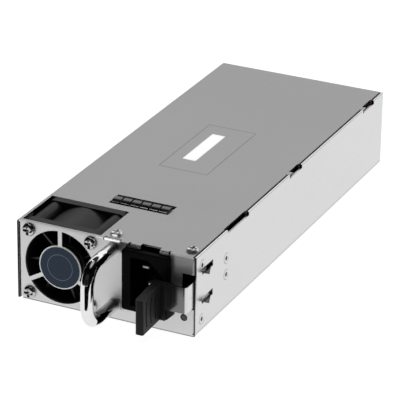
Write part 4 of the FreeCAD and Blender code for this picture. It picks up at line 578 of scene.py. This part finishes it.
def floor():
    """A wide pale floor, bright enough to leave hardly any shadow."""
    made = Surface("floor", 0.0, Roughness=0.6, Emission_Color=WHITE, Emission_Strength=0.93)
    made.color(made.colors(made.noise(400, 2.0), (0.3, 0.24), (0.7, 0.26)))
    mesh = bpy.data.meshes.new("floor")
    reach = 6.0
    mesh.from_pydata(
        [(-reach, -reach, 0), (reach, -reach, 0), (reach, reach, 0), (-reach, reach, 0)],
        [],
        [(0, 1, 2, 3)],
    )
    mesh.materials.append(made.material)
    piece = bpy.data.objects.new("floor", mesh)
    piece.location.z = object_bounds()[0].z - 0.05 * MM
    bpy.context.scene.collection.objects.link(piece)
    piece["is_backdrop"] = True


def mirror_card(name, corners, **constants):
    """A card beside the part, dark unless it glows, seen only in reflections."""
    mesh = bpy.data.meshes.new(name)
    mesh.from_pydata(corners, [], [tuple(range(len(corners)))])
    made = grainy(name, 0.002, 0.8, 0.0, 20.0, 0.1, Specular_IOR_Level=0.0, **constants)
    mesh.materials.append(made.material)
    card = bpy.data.objects.new(name, mesh)
    for hidden in ("visible_camera", "visible_shadow", "visible_diffuse"):
        setattr(card, hidden, False)
    bpy.context.scene.collection.objects.link(card)
    card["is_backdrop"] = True


def mirror_cards():
    """The unlit side of the studio at the front right, and small cards round the handle's bars."""
    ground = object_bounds()[0].z - 0.02 * MM
    outline = [(-0.006, -0.171), (-0.400, -1.6), (1.6, -1.6), (1.6, -0.3), (0.030, -0.166)]
    mirror_card("card_right", [(x, y, ground) for x, y in outline])
    low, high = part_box("handle")
    beside = high.x + 0.5 * MM
    near = low.y + 8 * MM
    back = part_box("front_panel")[0].y - 0.3 * MM
    for name, middle in (("card_low", low.z + HANDLE_ROD / 2), ("card_high", high.z - HANDLE_ROD / 2)):
        below = middle - 2 * MM
        above = middle + 3.5 * MM
        corners = [(near, below), (back, below), (back, above), (near, above)]
        mirror_card(name, [(beside, y, z) for y, z in corners])
    for name, across in (("card_west", -0.25), ("card_east", 0.25)):
        near, far, ceiling = -0.5, 0.0, 0.4
        corners = [(near, ground), (far, ground), (far, ceiling), (near, ceiling)]
        mirror_card(name, [(across, y, z) for y, z in corners])
    left, right, above = low.x - 6 * MM, high.x, high.z + 0.4 * MM
    corners = [(left, above), (right, above), (right, above + 5 * MM), (left, above + 5 * MM)]
    glow = {"Emission_Color": WHITE, "Emission_Strength": 1.2}
    mirror_card("card_bright", [(x, back, z) for x, z in corners], **glow)


def soft_box(name, place, width, watts, mirrored=False):
    """A square light that points at the part's foot."""
    light = bpy.data.lights.new(name, "AREA")
    light.shape = "SQUARE"
    light.size = width
    light.energy = watts
    box = bpy.data.objects.new(name, light)
    box.location = place
    box.rotation_euler = (-Vector(place)).to_track_quat("-Z", "Y").to_euler()
    box.visible_glossy = mirrored
    bpy.context.scene.collection.objects.link(box)


def lights():
    soft_box("key", (0.5, -0.2, 1.6), 0.8, 9)
    soft_box("side", (1.7, 0.2, 0.8), 0.7, 3)
    soft_box("fill", (-1.5, -1.0, 0.8), 0.7, 3)
    soft_box("glint", (-0.585, 0.33, 1.34), 0.14, 0.35, mirrored=True)


def ramp_of(tree, value, stops):
    """Greys through (position, grey) stops along a value from nought to one."""
    ramp = tree.nodes.new("ShaderNodeValToRGB")
    while len(ramp.color_ramp.elements) < len(stops):
        ramp.color_ramp.elements.new(0.5)
    for element, (position, grey) in zip(ramp.color_ramp.elements, stops):
        element.position = position
        element.color = rgba(grey)
    tree.links.new(value, ramp.inputs["Fac"])
    return ramp.outputs["Color"]


def vector_math(tree, operation, first, second=None):
    made = tree.nodes.new("ShaderNodeVectorMath")
    made.operation = operation
    tree.links.new(first, made.inputs[0])
    if second is not None:
        tree.links.new(second, made.inputs[1])
    return made.outputs["Vector"]


def studio_air():
    """A bright band behind the part, soft sides, a lit ceiling and a dark side behind the camera."""
    world = bpy.data.worlds.new("studio")
    bpy.context.scene.world = world
    world.use_nodes = True
    tree = world.node_tree
    where = tree.nodes.new("ShaderNodeTexCoord").outputs["Generated"]
    ahead = tree.nodes.new("ShaderNodeSeparateXYZ")
    tree.links.new(where, ahead.inputs["Vector"])
    sideways = tree.nodes.new("ShaderNodeSeparateXYZ")
    tree.links.new(vector_math(tree, "ABSOLUTE", where), sideways.inputs["Vector"])
    behind = ramp_of(tree, ahead.outputs["Y"], ((0.0, 0.02), (0.24, 0.9), (1.0, 1.0)))
    band = ramp_of(
        tree,
        ahead.outputs["Z"],
        ((0.0, 0.16), (0.32, 0.16), (0.45, 1.0), (0.62, 1.0), (0.74, 0.03), (1.0, 0.02)),
    )
    sides = ramp_of(tree, sideways.outputs["X"], ((0.5, 0.01), (0.72, 0.34), (1.0, 0.36)))
    ceiling = ramp_of(tree, ahead.outputs["Z"], ((0.93, 0.0), (0.98, 0.4)))
    light = vector_math(tree, "MULTIPLY", behind, band)
    low = ramp_of(tree, ahead.outputs["Z"], ((0.5, 1.0), (0.6, 0.1)))
    light = vector_math(tree, "MAXIMUM", light, vector_math(tree, "MULTIPLY", sides, low))
    light = vector_math(tree, "MAXIMUM", light, ceiling)
    background = tree.nodes["Background"]
    tree.links.new(light, background.inputs["Color"])
    background.inputs["Strength"].default_value = 1.3


def camera():
    lens = bpy.data.cameras.new("camera")
    lens.sensor_fit = "HORIZONTAL"
    lens.sensor_width = IMAGE_SENSOR
    lens.lens = CAMERA_LENS
    lens.clip_start = 0.05
    lens.clip_end = 50.0
    eye = bpy.data.objects.new("camera", lens)
    turn = Matrix((CAMERA_RIGHT, -CAMERA_DOWN, -CAMERA_AHEAD)).transposed()
    eye.matrix_world = Matrix.Translation(CAMERA_PLACE) @ turn.to_4x4()
    bpy.context.scene.collection.objects.link(eye)
    bpy.context.scene.camera = eye


dress_nodes()
printed_area()
smooth_handle()
floor()
mirror_cards()
lights()
studio_air()
camera()
bpy.context.scene.view_settings.view_transform = "Standard"
